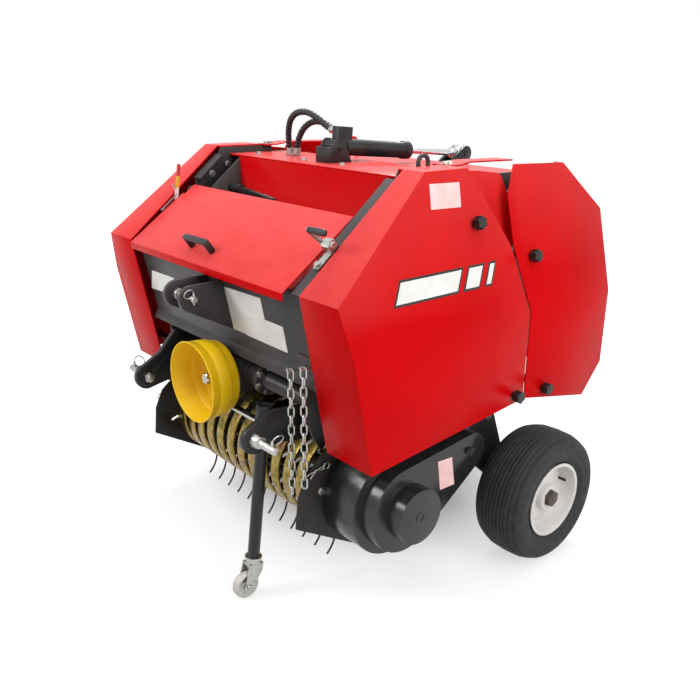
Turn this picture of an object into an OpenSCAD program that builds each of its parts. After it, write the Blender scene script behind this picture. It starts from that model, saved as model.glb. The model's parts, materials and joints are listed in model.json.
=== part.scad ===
// Three-point-hitch mini round baler: roller bale chamber, tined pickup, hydraulic tailgate.
// Millimetres. +X is the side with the chain case, +Y runs rearwards, +Z is up, ground at z = 0.
// Outlines are (y, z) pairs measured from the middle of the side covers.

/* [Side covers] */
// Length of the side covers from nose to rear edge
cover_len = 1060; // [1000:10:1120]
// Half of the width across the side covers
cover_half_w = 605; // [590:1:620]
// Height of the fold above which the covers lean inwards
fold_z = 773; // [740:1:800]
// Lean of the upper cover panels from the vertical, in degrees
cover_lean = 14; // [10:0.5:16]
// Sheet thickness of the covers
cover_t = 4; // [2:0.5:5]
// Height of the top edge of the covers
cover_top_z = 1165; // [1155:1:1180]
// Height of the nose, where the front edge meets the bevel
nose_z = 894; // [880:1:910]
// Width of the gap between front covers and tailgate covers
seam_gap = 6; // [5:0.5:10]
// Place of the seam between front covers and tailgate covers
seam_y = 141; // [135:1:150]
// Inner edge of the flange along the nose of the front covers
flange_x = 433; // [430:1:445]
// Depth of the recessed corner behind the diagonal cut
corner_recess = 35; // [25:1:45]

/* [Bale chamber] */
// Radius of the bale
bale_r = 250; // [240:1:255]
// Radius of the chamber rollers without their ribs
roller_r = 42; // [36:1:44]
// Height of the ribs along the rollers
rib_h = 4; // [2:0.5:6]
// Fore and aft place of the chamber's middle
chamber_y = 140; // [135:1:145]
// Height of the chamber's middle
chamber_z = 785; // [780:1:790]
// Half of the clear width between the chamber walls
wall_x = 350; // [340:1:352]
// Thickness of the chamber walls
wall_t = 8; // [6:1:10]

/* [Tailgate] */
// Gap between chamber wall and tailgate side plate
gate_gap = 6; // [5:0.5:8]
// Thickness of the tailgate side plates
gate_t = 8; // [6:1:10]
// Radius of the tailgate hinge pins
hinge_r = 16; // [12:1:18]
// Height of the tailgate's top plate
gate_top_z = 1120; // [1115:1:1124]

/* [Front frame] */
// Height of the plate on top of the frame
top_plate_z = 1140; // [1138:1:1142]
// Thickness of frame plates
plate_t = 6; // [4:1:8]
// Half of the width of the front panel
panel_half_w = 425; // [420:1:428]
// Inner face of the shoulder plates
shoulder_x = 412; // [405:1:414]
// Thickness of the folded inner sheets
sheet_t = 4; // [3:0.5:5]

/* [Lid] */
// Left edge of the twine box lid
lid_left = -420; // [-422:1:-415]
// Right edge of the twine box lid
lid_right = 372; // [360:1:374]
// Sheet thickness of the lid
lid_t = 3; // [2:0.5:4]
// Radius of the lid's hinge pins
lid_pin_r = 6; // [4:0.5:8]

/* [Wheels] */
// Outer diameter of the tyres
tyre_d = 400; // [390:1:410]
// Width of the tyres
tyre_w = 165; // [155:1:170]
// Diameter of the rim's bead seat
rim_d = 212; // [205:1:220]
// Middle of a wheel from the centre line
wheel_x = 625; // [620:1:635]
// Fore and aft place of the wheels
wheel_y = 212; // [200:1:220]
// Radius of the stub axles
axle_r = 15; // [12:0.5:18]

/* [Hitch] */
// Inner face of the lower link arms
arm_x = 287; // [283:1:292]
// Thickness of the lower link arms
arm_t = 16; // [12:1:18]
// Radius of the lower link pins
link_pin_r = 11; // [11:0.5:14]
// Fore and aft place of the lower link pins
link_y = -577; // [-582:1:-572]
// Height of the lower link pins
link_z = 490; // [485:1:495]
// Radius of the top link pin
top_pin_r = 9.5; // [9:0.5:12.5]
// Radius of the power take-off shaft
pto_r = 17.5; // [17:0.5:18]
// Height of the power take-off shaft
pto_z = 560; // [558:1:562]

/* [Pickup] */
// Fore and aft place of the pickup reel's axis
reel_y = -281; // [-284:1:-278]
// Height of the pickup reel's axis
reel_z = 294; // [290:1:298]
// Radius at the tips of the tines
tine_tip_r = 242; // [235:1:243]
// Outer radius of the stripper bands
band_r = 153; // [148:1:158]
// Spacing of the tines along the reel
tine_pitch = 59; // [57:0.5:59]
// Number of tines in a row
tine_count = 12; // [10:2:12]
// Number of tine rows round the reel
tine_rows = 2; // [2:1:3]
// Thickness of a tine
tine_t = 7; // [5:0.5:8]
// Width of the slots between stripper bands
slot_w = 23; // [21:0.5:25]
// Inner face of the pickup's side plates
pickup_x = 388; // [385:1:392]

/* [Parking jack] */
// Middle of the jack leg from the centre line
jack_x = 262; // [260:1:263]
// Lean of the jack leg, foot forwards, in degrees
jack_lean = 6.5; // [5:0.5:7]
// Radius of the jack leg
leg_r = 17; // [15:0.5:18]
// Radius of the caster wheel
caster_r = 37.5; // [35:0.5:40]
// Distance of the caster wheel's axle in front of the leg's axis
caster_trail = 20; // [16:1:24]
// How far the caster reaches in front of the covers
front_reach = 105; // [102:1:108]

/* [Tailgate cylinder] */
// Fore and aft place of the barrel's pivot
barrel_y = -68; // [-72:1:-64]
// Height of the barrel's pivot above the top plate
barrel_rise = 45; // [43:1:50]
// Fore and aft place of the rod's eye
eye_y = 500; // [495:1:502]
// Height of the rod's eye above the tailgate's top plate
eye_rise = 18; // [14:1:22]
// Radius of the barrel
barrel_r = 25; // [22:1:27]
// Radius of the piston rod
rod_r = 10; // [8:0.5:12]
// Radius of the pins at both ends
cyl_pin_r = 9; // [8:0.5:10]
// Clearance all round the pin in the rod's eye
eye_play = 11; // [10.5:0.5:12]

/* [Fits] */
// Radial clearance of pins and shafts that turn
run_fit = 0.3; // [0.2:0.05:0.5]
// Side clearance between moving plates
side_play = 2; // [1:0.5:3]

/* [Hidden] */
$fn = 48;

red = "#d8121a";
charcoal = "#4a4a4d";
black = "#26262a";
zinc = "#c9c9c4";

// The origin lies under the middle of the whole length, half the front reach ahead of the covers' middle
body_y = front_reach / 2;
nose_y = -cover_len / 2;
rear_y = cover_len / 2;

// Roller ring and tailgate hinge
ring_r = bale_r + rib_h + roller_r;
hinge_angle = 98;
roller_step = 28;
front_roller_angles = [hinge_angle, 126, 154, 182, 208, 262];
gate_roller_angles = [for (i = [1:6]) hinge_angle - i * roller_step];
function ring_point(a) = [chamber_y + ring_r * cos(a), chamber_z + ring_r * sin(a)];
hinge = ring_point(hinge_angle);
gate_x = wall_x + wall_t + gate_gap;

// Places of the front panel's lower and upper edges, and of the lid
panel_low = [-458, 660];
panel_high = [-505, 890];
panel_angle = atan2(panel_high[1] - panel_low[1], panel_high[0] - panel_low[0]);
function behind_panel(p) = p + plate_t * [sin(panel_angle), -cos(panel_angle)];
lid_low = [-536, 889];
lid_high = [-310, 1050];
lid_angle = atan2(lid_high[1] - lid_low[1], lid_high[0] - lid_low[0]);
lid_hinge = [-316, 1032];
function lid_plane(y, drop) = [y, lid_low[1] + (y - lid_low[0]) * tan(lid_angle) - drop];

// Hitch beam and axle beam
beam = 60;
hitch_beam_w = 50;
hitch_beam_y = -385;
hitch_beam_z = 545;
axle_beam_y = 40;
axle_beam_z = 370;
axle_beam_half = 470;
wheel_z = tyre_d / 2;
pivot = [-30, 386];
pivot_r = 20;

function lean_s(z) = (z - fold_z) / cos(cover_lean);
function lean_x(z) = cover_half_w - (z - fold_z) * tan(cover_lean);

// Turns a (y, z) outline into a plate that starts at x0 and is t thick
module yz_plate(x0, t) {
  translate([x0, 0, 0]) rotate([90, 0, 90]) linear_extrude(t) children();
}

// Lays a sheet outline drawn as (across, along) on the line from p to q, its thickness t inwards
module sheet_on(p, q, t) {
  translate([0, p[0], p[1]])
    rotate([atan2(q[1] - p[1], q[0] - p[0]), 0, 0])
      translate([0, 0, -t]) linear_extrude(t) children();
}

// Round bar along X from x0 to x1 through the (y, z) point p
module bar_x(x0, x1, r, p) {
  translate([x0, p[0], p[1]]) rotate([0, 90, 0]) cylinder(h = x1 - x0, r = r);
}

module both_sides() {
  children();
  mirror([1, 0, 0]) children();
}

// Moves a piece from the covers' middle to the part's origin
module placed() {
  translate([0, body_y, 0]) children();
}

// A strip of constant width w along the line from p to q
module strip(p, q, w) {
  translate(p) rotate(atan2(q[1] - p[1], q[0] - p[0]))
    translate([0, -w / 2]) square([norm(q - p), w]);
}

// Disc of a (y, z) outline
module disc_at(p, r) {
  translate(p) circle(r);
}

module wall_outline() {
  low = behind_panel(panel_low);
  high = behind_panel(panel_high);
  polygon([
    high, low, [low[0], 530], [reel_y - 149, 470], reel + [-121, 131], reel + [-104, 146],
    reel + [-49, 168], [band_tail_high[0] + 16, band_top_z + 8],
    pivot + [-34, -41], pivot + [45, -41], [axle_beam_y - 10, axle_beam_z + beam],
    [seam_y - 16, axle_beam_z + beam], [seam_y - 16, hinge[1] - 50], hinge + [40, -20],
    hinge + [40, 34], hinge + [20, top_plate_z - plate_t - hinge[1]],
    [-165, top_plate_z - plate_t], lid_hinge + [32, 8], lid_hinge + [32, -29],
    lid_plane(lid_hinge[0] - 14, 36), lid_plane(high[0] + 10, 36)]);
}

module side_walls() {
  color(charcoal) placed() both_sides() {
    difference() {
      yz_plate(wall_x, wall_t) wall_outline();
      bar_x(wall_x - 1, wall_x + wall_t + 1, pivot_r + run_fit, pivot);
    }
    bar_x(wall_x + wall_t, gate_x + gate_t + 6, hinge_r, hinge);
  }
}

// Ribbed roller between two faces at +-half, with its shaft ends on them
module roller(half, p, turn) {
  rib_w = 8;
  end_gap = 5;
  tube_t = 4;
  length = 2 * (half - end_gap);
  bar_x(-half, half, 15, p);
  translate([-half + end_gap, p[0], p[1]]) rotate([turn, 0, 0]) {
    difference() {
      rotate([0, 90, 0]) cylinder(h = length, r = roller_r);
      translate([-1, 0, 0]) rotate([0, 90, 0]) cylinder(h = length + 2, r = roller_r - tube_t);
    }
    for (i = [0, 90]) rotate([i, 0, 0])
      translate([0, -roller_r + 2, -tube_t / 2]) cube([length, 2 * roller_r - 4, tube_t]);
    for (i = [0:7]) rotate([i * 45, 0, 0])
      translate([0, -rib_w / 2, roller_r - 3]) cube([length, rib_w, rib_h + 3]);
  }
}

module chamber_rollers() {
  color(charcoal) placed() for (a = front_roller_angles) roller(wall_x, ring_point(a), a);
}

module front_panel() {
  lip_end = panel_low + [-14, -26];
  color(charcoal) placed() {
    sheet_on(panel_low, panel_high, plate_t)
      translate([-panel_half_w, 0]) square([2 * panel_half_w, norm(panel_high - panel_low)]);
    sheet_on(lip_end, panel_low, plate_t)
      translate([-panel_half_w, 0]) square([2 * panel_half_w, norm(panel_low - lip_end)]);
  }
}

shoulder_top_z = cover_top_z - cover_t;
bevel_low = [nose_y, nose_z];
bevel_high = [-202, cover_top_z];
bevel_angle = atan2(bevel_high[1] - bevel_low[1], bevel_high[0] - bevel_low[0]);
function bevel_plane(y, drop) = [y, bevel_low[1] + (y - bevel_low[0]) * tan(bevel_angle) - drop];

bar_drop = 14;
bar_t = 6;

module shoulder_outline(y_low, drop_low) {
  low = behind_panel(panel_low + (panel_high - panel_low) * 0.5);
  high = behind_panel(panel_high);
  polygon([
    low, high, bevel_plane(high[0] + 8, drop_low), bevel_plane(y_low, drop_low),
    bevel_plane(y_low, bar_drop + bar_t), bevel_plane(-215, bar_drop + bar_t),
    [-200, shoulder_top_z], [0, shoulder_top_z], [0, 1085], [-185, 1085], [-430, 840]]);
}

module shoulder_frame() {
  bar_w = 40;
  lid_clear = 46;
  color(charcoal) placed() {
    yz_plate(shoulder_x, plate_t) shoulder_outline(-460, bar_drop + bar_t);
    yz_plate(-shoulder_x - plate_t, plate_t) {
      shoulder_outline(lid_hinge[0] + 16, lid_clear);
      disc_at(lid_hinge, 14);
    }
    sheet_on(bevel_plane(nose_y + 12, bar_drop), bevel_plane(-215, bar_drop), bar_t)
      translate([shoulder_x + plate_t - bar_w + 8, 0])
        square([bar_w, norm(bevel_plane(nose_y + 12, 0) - bevel_plane(-215, 0))]);
    sheet_on(bevel_plane(-300, bar_drop), bevel_plane(-215, bar_drop), bar_t)
      translate([-shoulder_x - plate_t - 8, 0])
        square([bar_w, norm(bevel_plane(-300, 0) - bevel_plane(-215, 0))]);
    bar_x(lid_right - 20, shoulder_x, lid_pin_r, lid_hinge);
    bar_x(-shoulder_x, -shoulder_x + 16, lid_pin_r, lid_hinge);
  }
}

module top_plate() {
  color(red) placed()
    translate([-shoulder_x, -165 - sheet_t, top_plate_z - plate_t])
      cube([2 * shoulder_x, 165 + sheet_t + 60, plate_t]);
}

module hinge_flaps() {
  flap_in = gate_x + gate_t + 8;
  flap_out = 440;
  crest = [45, shoulder_top_z + 10];
  tail = [222, shoulder_top_z + 6];
  color(red) placed() both_sides() {
    translate([flap_in, -40, shoulder_top_z]) cube([flap_out - flap_in, 41, sheet_t]);
    sheet_on([0, shoulder_top_z + sheet_t], crest, sheet_t)
      translate([flap_in, 0]) square([flap_out - flap_in, norm(crest - [0, shoulder_top_z + sheet_t])]);
    sheet_on(crest, tail, sheet_t)
      translate([flap_in, 0]) square([flap_out - flap_in, norm(tail - crest)]);
  }
}

box_back_y = -165;
box_fold = [box_back_y, 985];
box_rear = [-235, 885];
box_front = [-490, 862];

module twine_box() {
  color(red) placed() yz_plate(-wall_x, 2 * wall_x) {
    translate([box_back_y - sheet_t, box_fold[1] - 2])
      square([sheet_t, top_plate_z - plate_t - box_fold[1] + 2]);
    strip(box_fold + [-2, 0], box_rear, sheet_t);
    strip(box_rear, box_front, sheet_t);
  }
}

// Twine arm, its rocker on the left wall and the tension cone on the box floor
module twine_gear() {
  cone_p = [130, -300];
  box_slope = (box_rear[1] - box_front[1]) / (box_rear[0] - box_front[0]);
  floor_z = box_front[1] + (cone_p[1] - box_front[0]) * box_slope;
  arm_p = [-205, 1040];
  color(black) placed() {
    translate([cone_p[0], cone_p[1], floor_z + sheet_t]) {
      cylinder(h = 60, r = 16);
      translate([0, 0, 60]) cylinder(h = 50, r1 = 16, r2 = 4);
    }
    bar_x(-wall_x, -wall_x + 60, 14, arm_p);
    translate([-wall_x + 40, arm_p[0], arm_p[1]]) rotate([0, 0, -14])
      translate([0, -8, -8]) cube([300, 16, 16]);
  }
}

cover_cut_low = [92, 951];
cover_cut_high = [-45, cover_top_z];
function lean_point(p) = [p[0], lean_s(p[1])];
cover_front_low = [-445, 462];

function cover_front_y(z) = cover_front_low[0]
  + (nose_y - cover_front_low[0]) * (z - cover_front_low[1]) / (nose_z - cover_front_low[1]);

// Points on the inner side of a folded edge that runs through p, q and r
function edge_in(p, q) = let (d = (q - p) / norm(q - p)) [d[1], -d[0]];
function mitre(p, q, r, t) = let (a = edge_in(p, q), b = edge_in(q, r)) q + t * (a + b) / (1 + a * b);
function run_out(p, q, t, d) = q + t * edge_in(p, q) + d * (q - p) / norm(q - p);
function run_in(p, q, t, d) = p + t * edge_in(p, q) - d * (q - p) / norm(q - p);

// Everything inside the folded cover face, set in by the given depth
module under_cover(depth) {
  side = cover_half_w - depth;
  slant = depth / cos(cover_lean);
  fold = fold_z + (depth - slant) / tan(cover_lean);
  top = 1300;
  translate([0, 900, 0]) rotate([90, 0, 0]) linear_extrude(1800)
    polygon([[200, 300], [side, 300], [side, fold], [lean_x(top) - slant, top], [200, top]]);
}

// One front cover on the +X side: folded panel, nose flanges, recessed corner
module front_cover() {
  edge_y = seam_y - seam_gap / 2;
  far_y = edge_y + 80;
  round_r = 40;
  difference() {
    intersection() {
      yz_plate(shoulder_x + 2, cover_half_w) polygon([
        cover_front_low, bevel_low, bevel_high, cover_cut_high, cover_cut_low,
        [edge_y, fold_z], [edge_y, 514]]);
      under_cover(0);
    }
    intersection() {
      yz_plate(shoulder_x - 112, cover_half_w) polygon([
        run_in(cover_front_low, bevel_low, cover_t, 40),
        mitre(cover_front_low, bevel_low, bevel_high, cover_t),
        mitre(bevel_low, bevel_high, cover_cut_high, cover_t),
        [far_y, cover_top_z - cover_t], [far_y, 400]]);
      under_cover(cover_t);
    }
    translate([300, -700, 300]) cube([flange_x - 300, 700 + bevel_high[0], 1000]);
    translate([0, 0, 10]) sheet_on(cover_front_low, bevel_low, 40) translate([flange_x, 0]) difference() {
      translate([-5, -20]) square([round_r + 5, round_r + 20]);
      translate([round_r, round_r]) circle(round_r);
    }
  }
  translate([cover_half_w, 0, fold_z]) rotate([0, -cover_lean, 0]) {
    yz_plate(-corner_recess - cover_t, cover_t) polygon([for (p = [
      cover_cut_low, cover_cut_high, [40, cover_top_z - 7], [118, cover_top_z - 17],
      [edge_y - 8, cover_top_z - 30], [edge_y + 8, 1086], [edge_y + 10, 990],
      [edge_y + 2, cover_cut_low[1]]]) lean_point(p)]);
    yz_plate(-corner_recess - cover_t, corner_recess + cover_t - 0.5)
      strip(lean_point(cover_cut_low + [-4, 6]), lean_point(cover_cut_high + [4, -6]), cover_t);
  }
}

module front_cover_right() {
  color(red) placed() front_cover();
}

module front_cover_left() {
  color(red) placed() mirror([1, 0, 0]) front_cover();
}

// The half-space inside the leaning cover panel, deep enough for every post
module under_lean() {
  translate([cover_half_w, -600, fold_z]) rotate([0, -cover_lean, 0])
    translate([-400 - cover_t, 0, -10]) cube([400, 1300, 500]);
}

post_r = 12;
front_posts_low = [[-380, 520], [95, 545]];
front_post_high = [-45, 1028];
gate_posts_low = [[230, 535], [480, 700]];
gate_post_high = [[170, 919], [330, 1080]];

module cover_posts() {
  color(black) placed() both_sides() {
    for (p = front_posts_low) bar_x(wall_x + wall_t, cover_half_w - cover_t, post_r, p);
    intersection() {
      bar_x(wall_x + wall_t, cover_half_w, post_r, front_post_high);
      under_lean();
    }
  }
}

// Star knob whose foot stands on a cover face, pointing along local +Z
module knob() {
  cylinder(h = 8, r = 9);
  translate([0, 0, 8]) {
    cylinder(h = 20, r = 14);
    for (i = [0:5]) rotate(i * 60) translate([13, 0, 0]) cylinder(h = 20, r = 5, $fn = 24);
  }
}

module low_knob(p) {
  translate([cover_half_w, p[0], p[1]]) rotate([0, 90, 0]) knob();
}

module lean_knob(p) {
  translate([lean_x(p[1]), p[0], p[1]]) rotate([0, 90 - cover_lean, 0]) knob();
}

module cover_knobs() {
  color(black) placed() both_sides() {
    lean_knob(front_post_high);
    low_knob(front_posts_low[1] - [0, 8]);
  }
}

module tailgate_knobs() {
  color(black) placed() both_sides() {
    lean_knob(gate_post_high[0]);
    low_knob(gate_posts_low[0] - [0, 8]);
  }
}

gear_front = -470;
gear_half = 70;
drive_axis = [-430, 577];

module gearbox() {
  color(charcoal) placed() difference() {
    union() {
      translate([-gear_half, gear_front, pto_z - 40])
        cube([2 * gear_half, hitch_beam_y - gear_front, 102]);
      translate([0, gear_front + 1, pto_z]) rotate([90, 0, 0]) cylinder(h = 16, r = 62);
      bar_x(gear_half - 1, gear_half + 20, 34, drive_axis);
    }
    translate([0, gear_front - 30, pto_z]) rotate([-90, 0, 0]) cylinder(h = 80, r = pto_r - 1.5 + run_fit);
  }
}

module drive_tube() {
  flange_a = 2 * gear_half;
  color(charcoal) placed() {
    bar_x(gear_half + 20, flange_a + 1, 30, drive_axis);
    bar_x(flange_a, flange_a + 16, 42, drive_axis);
    bar_x(flange_a + 15, wall_x, 24, drive_axis);
  }
}

bell_front = -585;
bell_r = 118;
bell_t = 4;

// Bell-shaped shaft guard, revolved about the shaft and screwed to the gearbox nose
module pto_guard() {
  back = gear_front - 15;
  depth = back - bell_front;
  color("#f2b705") placed()
    translate([0, back, pto_z]) rotate([90, 0, 0]) rotate_extrude()
      polygon([
        [40, 0], [bell_r - 14, 0], [bell_r - 12, 30], [bell_r - 7, 34], [bell_r, depth],
        [bell_r - bell_t, depth], [bell_r - 7 - bell_t, 36], [bell_r - 12 - bell_t, 32],
        [bell_r - 14 - bell_t, bell_t], [40, bell_t]]);
}

// Stub shaft: its free end, and the thinner journal in the gearbox
module pto_shaft() {
  free_len = 56;
  color(zinc) placed() translate([0, gear_front - 17 - free_len, pto_z]) rotate([-90, 0, 0]) {
    cylinder(h = free_len, r = pto_r);
    translate([0, 0, free_len]) cylinder(h = 54, r = pto_r - 1.5);
  }
}

arm_nose_r = 40;

module arm_outline(top) {
  polygon(concat([
    [link_y, link_z - arm_nose_r], [-513, 462], [hitch_beam_y, 440],
    [hitch_beam_y, hitch_beam_z + hitch_beam_w]],
    top, [[link_y - 8, link_z + arm_nose_r - 1]]));
  disc_at([link_y, link_z], arm_nose_r);
}

module lower_arms() {
  color(black) placed() difference() {
    union() {
      yz_plate(arm_x, arm_t) arm_outline([[-392, 595], [-402, 544], [-530, 556]]);
      yz_plate(-arm_x - arm_t, arm_t) arm_outline([[-400, 625], [-440, 626], [-475, 622], [-530, 560]]);
    }
    bar_x(-arm_x - arm_t - 1, arm_x + arm_t + 1, link_pin_r, [link_y, link_z]);
  }
}

// Threaded stud with nut inside, tapered shoulder outside and the free link pin
module lower_pins() {
  face = arm_x + arm_t;
  color(zinc) placed() both_sides() {
    bar_x(arm_x - 24, face + 90, link_pin_r, [link_y, link_z]);
    translate([face, link_y, link_z]) rotate([0, 90, 0]) cylinder(h = 26, r1 = 22, r2 = 16);
    translate([arm_x - 16, link_y, link_z]) rotate([0, 90, 0]) cylinder(h = 16, r = 17, $fn = 6);
  }
}

module hitch_beam() {
  color(black) placed() {
    translate([-wall_x, hitch_beam_y, hitch_beam_z]) cube([2 * wall_x, hitch_beam_w, hitch_beam_w]);
    translate([-arm_x, gear_front - 14.7, 464]) cube([2 * arm_x, 20, 10]);
  }
}

top_pin = [-595, 815];
ear_x = 34;
ear_t = 12;

module top_link_ears() {
  foot_low = panel_low + (panel_high - panel_low) * 0.2;
  foot_high = panel_low + (panel_high - panel_low) * 0.83;
  color(charcoal) placed() both_sides() difference() {
    yz_plate(ear_x, ear_t) {
      polygon([foot_low, foot_high, top_pin + [0, 36], top_pin + [-36, 0], top_pin + [-20, -30]]);
      disc_at(top_pin, 36);
    }
    bar_x(ear_x - 1, ear_x + ear_t + 1, top_pin_r + run_fit, top_pin);
  }
}

module top_link_pin() {
  color(zinc) placed() {
    bar_x(-ear_x - ear_t - 16, ear_x + ear_t + 16, top_pin_r, top_pin);
    bar_x(-ear_x, -ear_x + 20, 16, top_pin);
    bar_x(ear_x - 20, ear_x, 16, top_pin);
  }
}

reel = [reel_y, reel_z];
reel_shaft_r = 20;
pickup_t = 6;
band_t = 3;
tine_clear = tine_tip_r + 8;
band_top_z = reel_z + band_r;
band_low_angle = 247;
band_low = reel + band_r * [cos(band_low_angle), sin(band_low_angle)];
tail_bar = 12;
band_tail_high = [reel_y + sqrt(pow(tine_clear, 2) - pow(band_r - tail_bar, 2)), band_top_z];
band_tail_low = [-50, 190];

module pickup_plate_outline() {
  polygon([
    [-516, 242], [-508, 330], [-482, 388], [-410, 446], [-250, 462], [-80, 462], pivot + [30, 34],
    pivot + [40, -20], [0, 300], [-30, 170], [-150, 98], [-270, 92]]);
}

module pickup_plates() {
  color(black) placed() both_sides() difference() {
    yz_plate(pickup_x, pickup_t) pickup_plate_outline();
    bar_x(pickup_x - 1, pickup_x + pickup_t + 1, reel_shaft_r + run_fit, reel);
    bar_x(pickup_x - 1, pickup_x + pickup_t + 1, pivot_r + run_fit, pivot);
  }
}

// Side view of one stripper band: top run, front arc and bottom run
module band_outline() {
  translate([reel_y, band_top_z - band_t]) square([band_tail_high[0] + 6 - reel_y, band_t]);
  strip(band_low + [0, band_t / 2], band_tail_low + [4, 0], band_t);
  intersection() {
    difference() {
      disc_at(reel, band_r);
      disc_at(reel, band_r - band_t);
    }
    polygon([reel, reel + [0, 300], reel + [-300, 300], reel + [-300, -300],
      reel + 300 * [cos(band_low_angle), sin(band_low_angle)]]);
  }
}

module pickup_bands() {
  band_w = tine_pitch - slot_w;
  row_half = (tine_count - 1) / 2 * tine_pitch;
  end_w = pickup_x - row_half - slot_w / 2;
  color("#b9a653") placed() {
    for (i = [0:tine_count - 2])
      yz_plate(-row_half + slot_w / 2 + i * tine_pitch, band_w) band_outline();
    both_sides() yz_plate(row_half + slot_w / 2, end_w) band_outline();
    translate([-pickup_x, band_tail_high[0], band_top_z - tail_bar])
      cube([2 * pickup_x, tail_bar, tail_bar]);
    translate([-pickup_x, band_tail_low[0], band_tail_low[1] - tail_bar / 2])
      cube([2 * pickup_x, tail_bar, tail_bar]);
  }
}

module pickup_tube() {
  color(black) placed() bar_x(-pickup_x - pickup_t, case_x, pivot_r, pivot);
}

tine_root_r = 95;
tine_bar_r = 12;

// One bent spring tine pointing along local +Y
module tine_outline() {
  bend_r = 190;
  bend = 18;
  half = tine_t / 2;
  mitre = half * tan(bend / 2);
  across = half * [cos(bend), -sin(bend)];
  tip = [0, bend_r] + (tine_tip_r - bend_r) * [sin(bend), cos(bend)];
  polygon([[-half, tine_root_r], [half, tine_root_r], [half, bend_r - mitre], tip + across, tip - across,
    [-half, bend_r + mitre]]);
}

module pickup_reel() {
  row_half = (tine_count - 1) / 2 * tine_pitch;
  disc_r = 118;
  disc_in = pickup_x - 28;
  color(black) placed() translate([0, reel_y, reel_z]) {
    bar_x(-pickup_x - pickup_t + 0.5, pickup_x + pickup_t - 0.5, reel_shaft_r, [0, 0]);
    both_sides() bar_x(disc_in, disc_in + 6, disc_r, [0, 0]);
    for (r = [0:tine_rows - 1]) rotate([r * 360 / tine_rows + 76, 0, 0]) {
      bar_x(-disc_in - 1, disc_in + 1, tine_bar_r, [-tine_root_r, 0]);
      for (i = [0:tine_count - 1])
        yz_plate(-row_half + i * tine_pitch - tine_t / 2, tine_t) rotate(90) tine_outline();
    }
  }
}

case_x = 520;
case_t = 50;
case_front_r = 122;
case_rear_r = 55;
drum_r = 77;
drum_t = 50;
housing_r = 148;

module case_outline(inset) {
  hull() {
    disc_at(reel, case_front_r - inset);
    disc_at(pivot, case_rear_r - inset);
  }
}

// Cam housing, chain case and the drum that closes it, hollow and open against the pickup's side plate
module chain_case() {
  shell = 5;
  color("#352f2d") placed() difference() {
    union() {
      bar_x(pickup_x + pickup_t, case_x + 1, housing_r, reel);
      yz_plate(case_x, case_t) case_outline(0);
      bar_x(case_x + case_t - 1, case_x + case_t + drum_t, drum_r, reel);
      bar_x(case_x + case_t - 1, case_x + case_t + 8, 14, pivot);
    }
    bar_x(pickup_x, case_x - shell, housing_r - shell, reel);
    bar_x(case_x - shell - 1, case_x + shell + 1, case_front_r - 2 * shell, reel);
    yz_plate(case_x + shell, case_t - 2 * shell) case_outline(shell);
    bar_x(case_x + case_t - shell - 1, case_x + case_t + drum_t - shell, drum_r - shell, reel);
  }
}

module feed_floor() {
  tail = [48, 470];
  color(charcoal) placed() yz_plate(-wall_x, 2 * wall_x)
    strip(band_tail_high + [tail_bar + 1, -sheet_t / 2], tail, sheet_t);
}

module axle_beam() {
  beam_t = 6;
  color(black) placed() difference() {
    translate([-axle_beam_half, axle_beam_y, axle_beam_z]) cube([2 * axle_beam_half, 70, beam]);
    translate([-axle_beam_half - 1, axle_beam_y + beam_t, axle_beam_z + beam_t])
      cube([2 * axle_beam_half + 2, 70 - 2 * beam_t, beam - 2 * beam_t]);
  }
}

arm_plate_t = 16;
hub_half = 55;

module wheel_arms() {
  color(black) placed() both_sides() {
    yz_plate(axle_beam_half, arm_plate_t) {
      polygon([[axle_beam_y - 15, axle_beam_z + beam + 8], [axle_beam_y + 120, axle_beam_z + beam + 8],
        [wheel_y + 40, wheel_z], [wheel_y - 40, wheel_z], [axle_beam_y - 15, axle_beam_z - 40]]);
      disc_at([wheel_y, wheel_z], 42);
    }
    bar_x(axle_beam_half + arm_plate_t, wheel_x - hub_half - 2, 24, [wheel_y, wheel_z]);
    bar_x(axle_beam_half + arm_plate_t, wheel_x + hub_half, axle_r, [wheel_y, wheel_z]);
  }
}

rim_t = 4;
bead_fit = 0.5;

// Tyre section as (radius, across), low-pressure implement profile
module tyre_section() {
  half = tyre_w / 2;
  outer = tyre_d / 2;
  seat = rim_d / 2;
  polygon([
    [seat, -60], [seat + 12, -68], [seat + 40, -half], [outer - 32, -half + 1], [outer - 10, -half + 18],
    [outer - 2, -half + 44], [outer, 0], [outer - 2, half - 44], [outer - 10, half - 18],
    [outer - 32, half - 1], [seat + 40, half], [seat + 12, 68], [seat, 60], [seat, -60]]);
}

module wheel_at(side) {
  translate([side * wheel_x, wheel_y, wheel_z]) rotate([0, side * 90, 0]) children();
}

module tyre(side) {
  color(black) placed() wheel_at(side) rotate_extrude($fn = 64) tyre_section();
}

module tyre_left() {
  tyre(-1);
}

module tyre_right() {
  tyre(1);
}

// Pressed disc wheel with its hub and hexagonal cap, outer face along local +Z
module rim(side) {
  seat = rim_d / 2;
  color("#e4e4e0") placed() wheel_at(side) difference() {
    union() {
      rotate_extrude() polygon([
        [seat - bead_fit, -61], [seat + 8, -70], [seat + 8, -74], [seat - 2, -74], [seat - rim_t - 6, -50],
        [seat - rim_t - 14, -10], [seat - rim_t - 14, 20], [70, 28], [38, 28], [38, 34], [70, 34],
        [seat - 14, 26], [seat - 6, 52], [seat - 2, 74], [seat + 8, 74], [seat + 8, 70],
        [seat - bead_fit, 61], [seat - bead_fit, 0]]);
      translate([0, 0, -hub_half]) cylinder(h = 2 * hub_half, r = 39);
      translate([0, 0, hub_half]) cylinder(h = 14, r = 26, $fn = 6);
    }
    translate([0, 0, -hub_half - 1]) cylinder(h = 2 * hub_half + 2, r = axle_r + run_fit);
  }
}

module rim_left() {
  rim(-1);
}

module rim_right() {
  rim(1);
}

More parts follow.
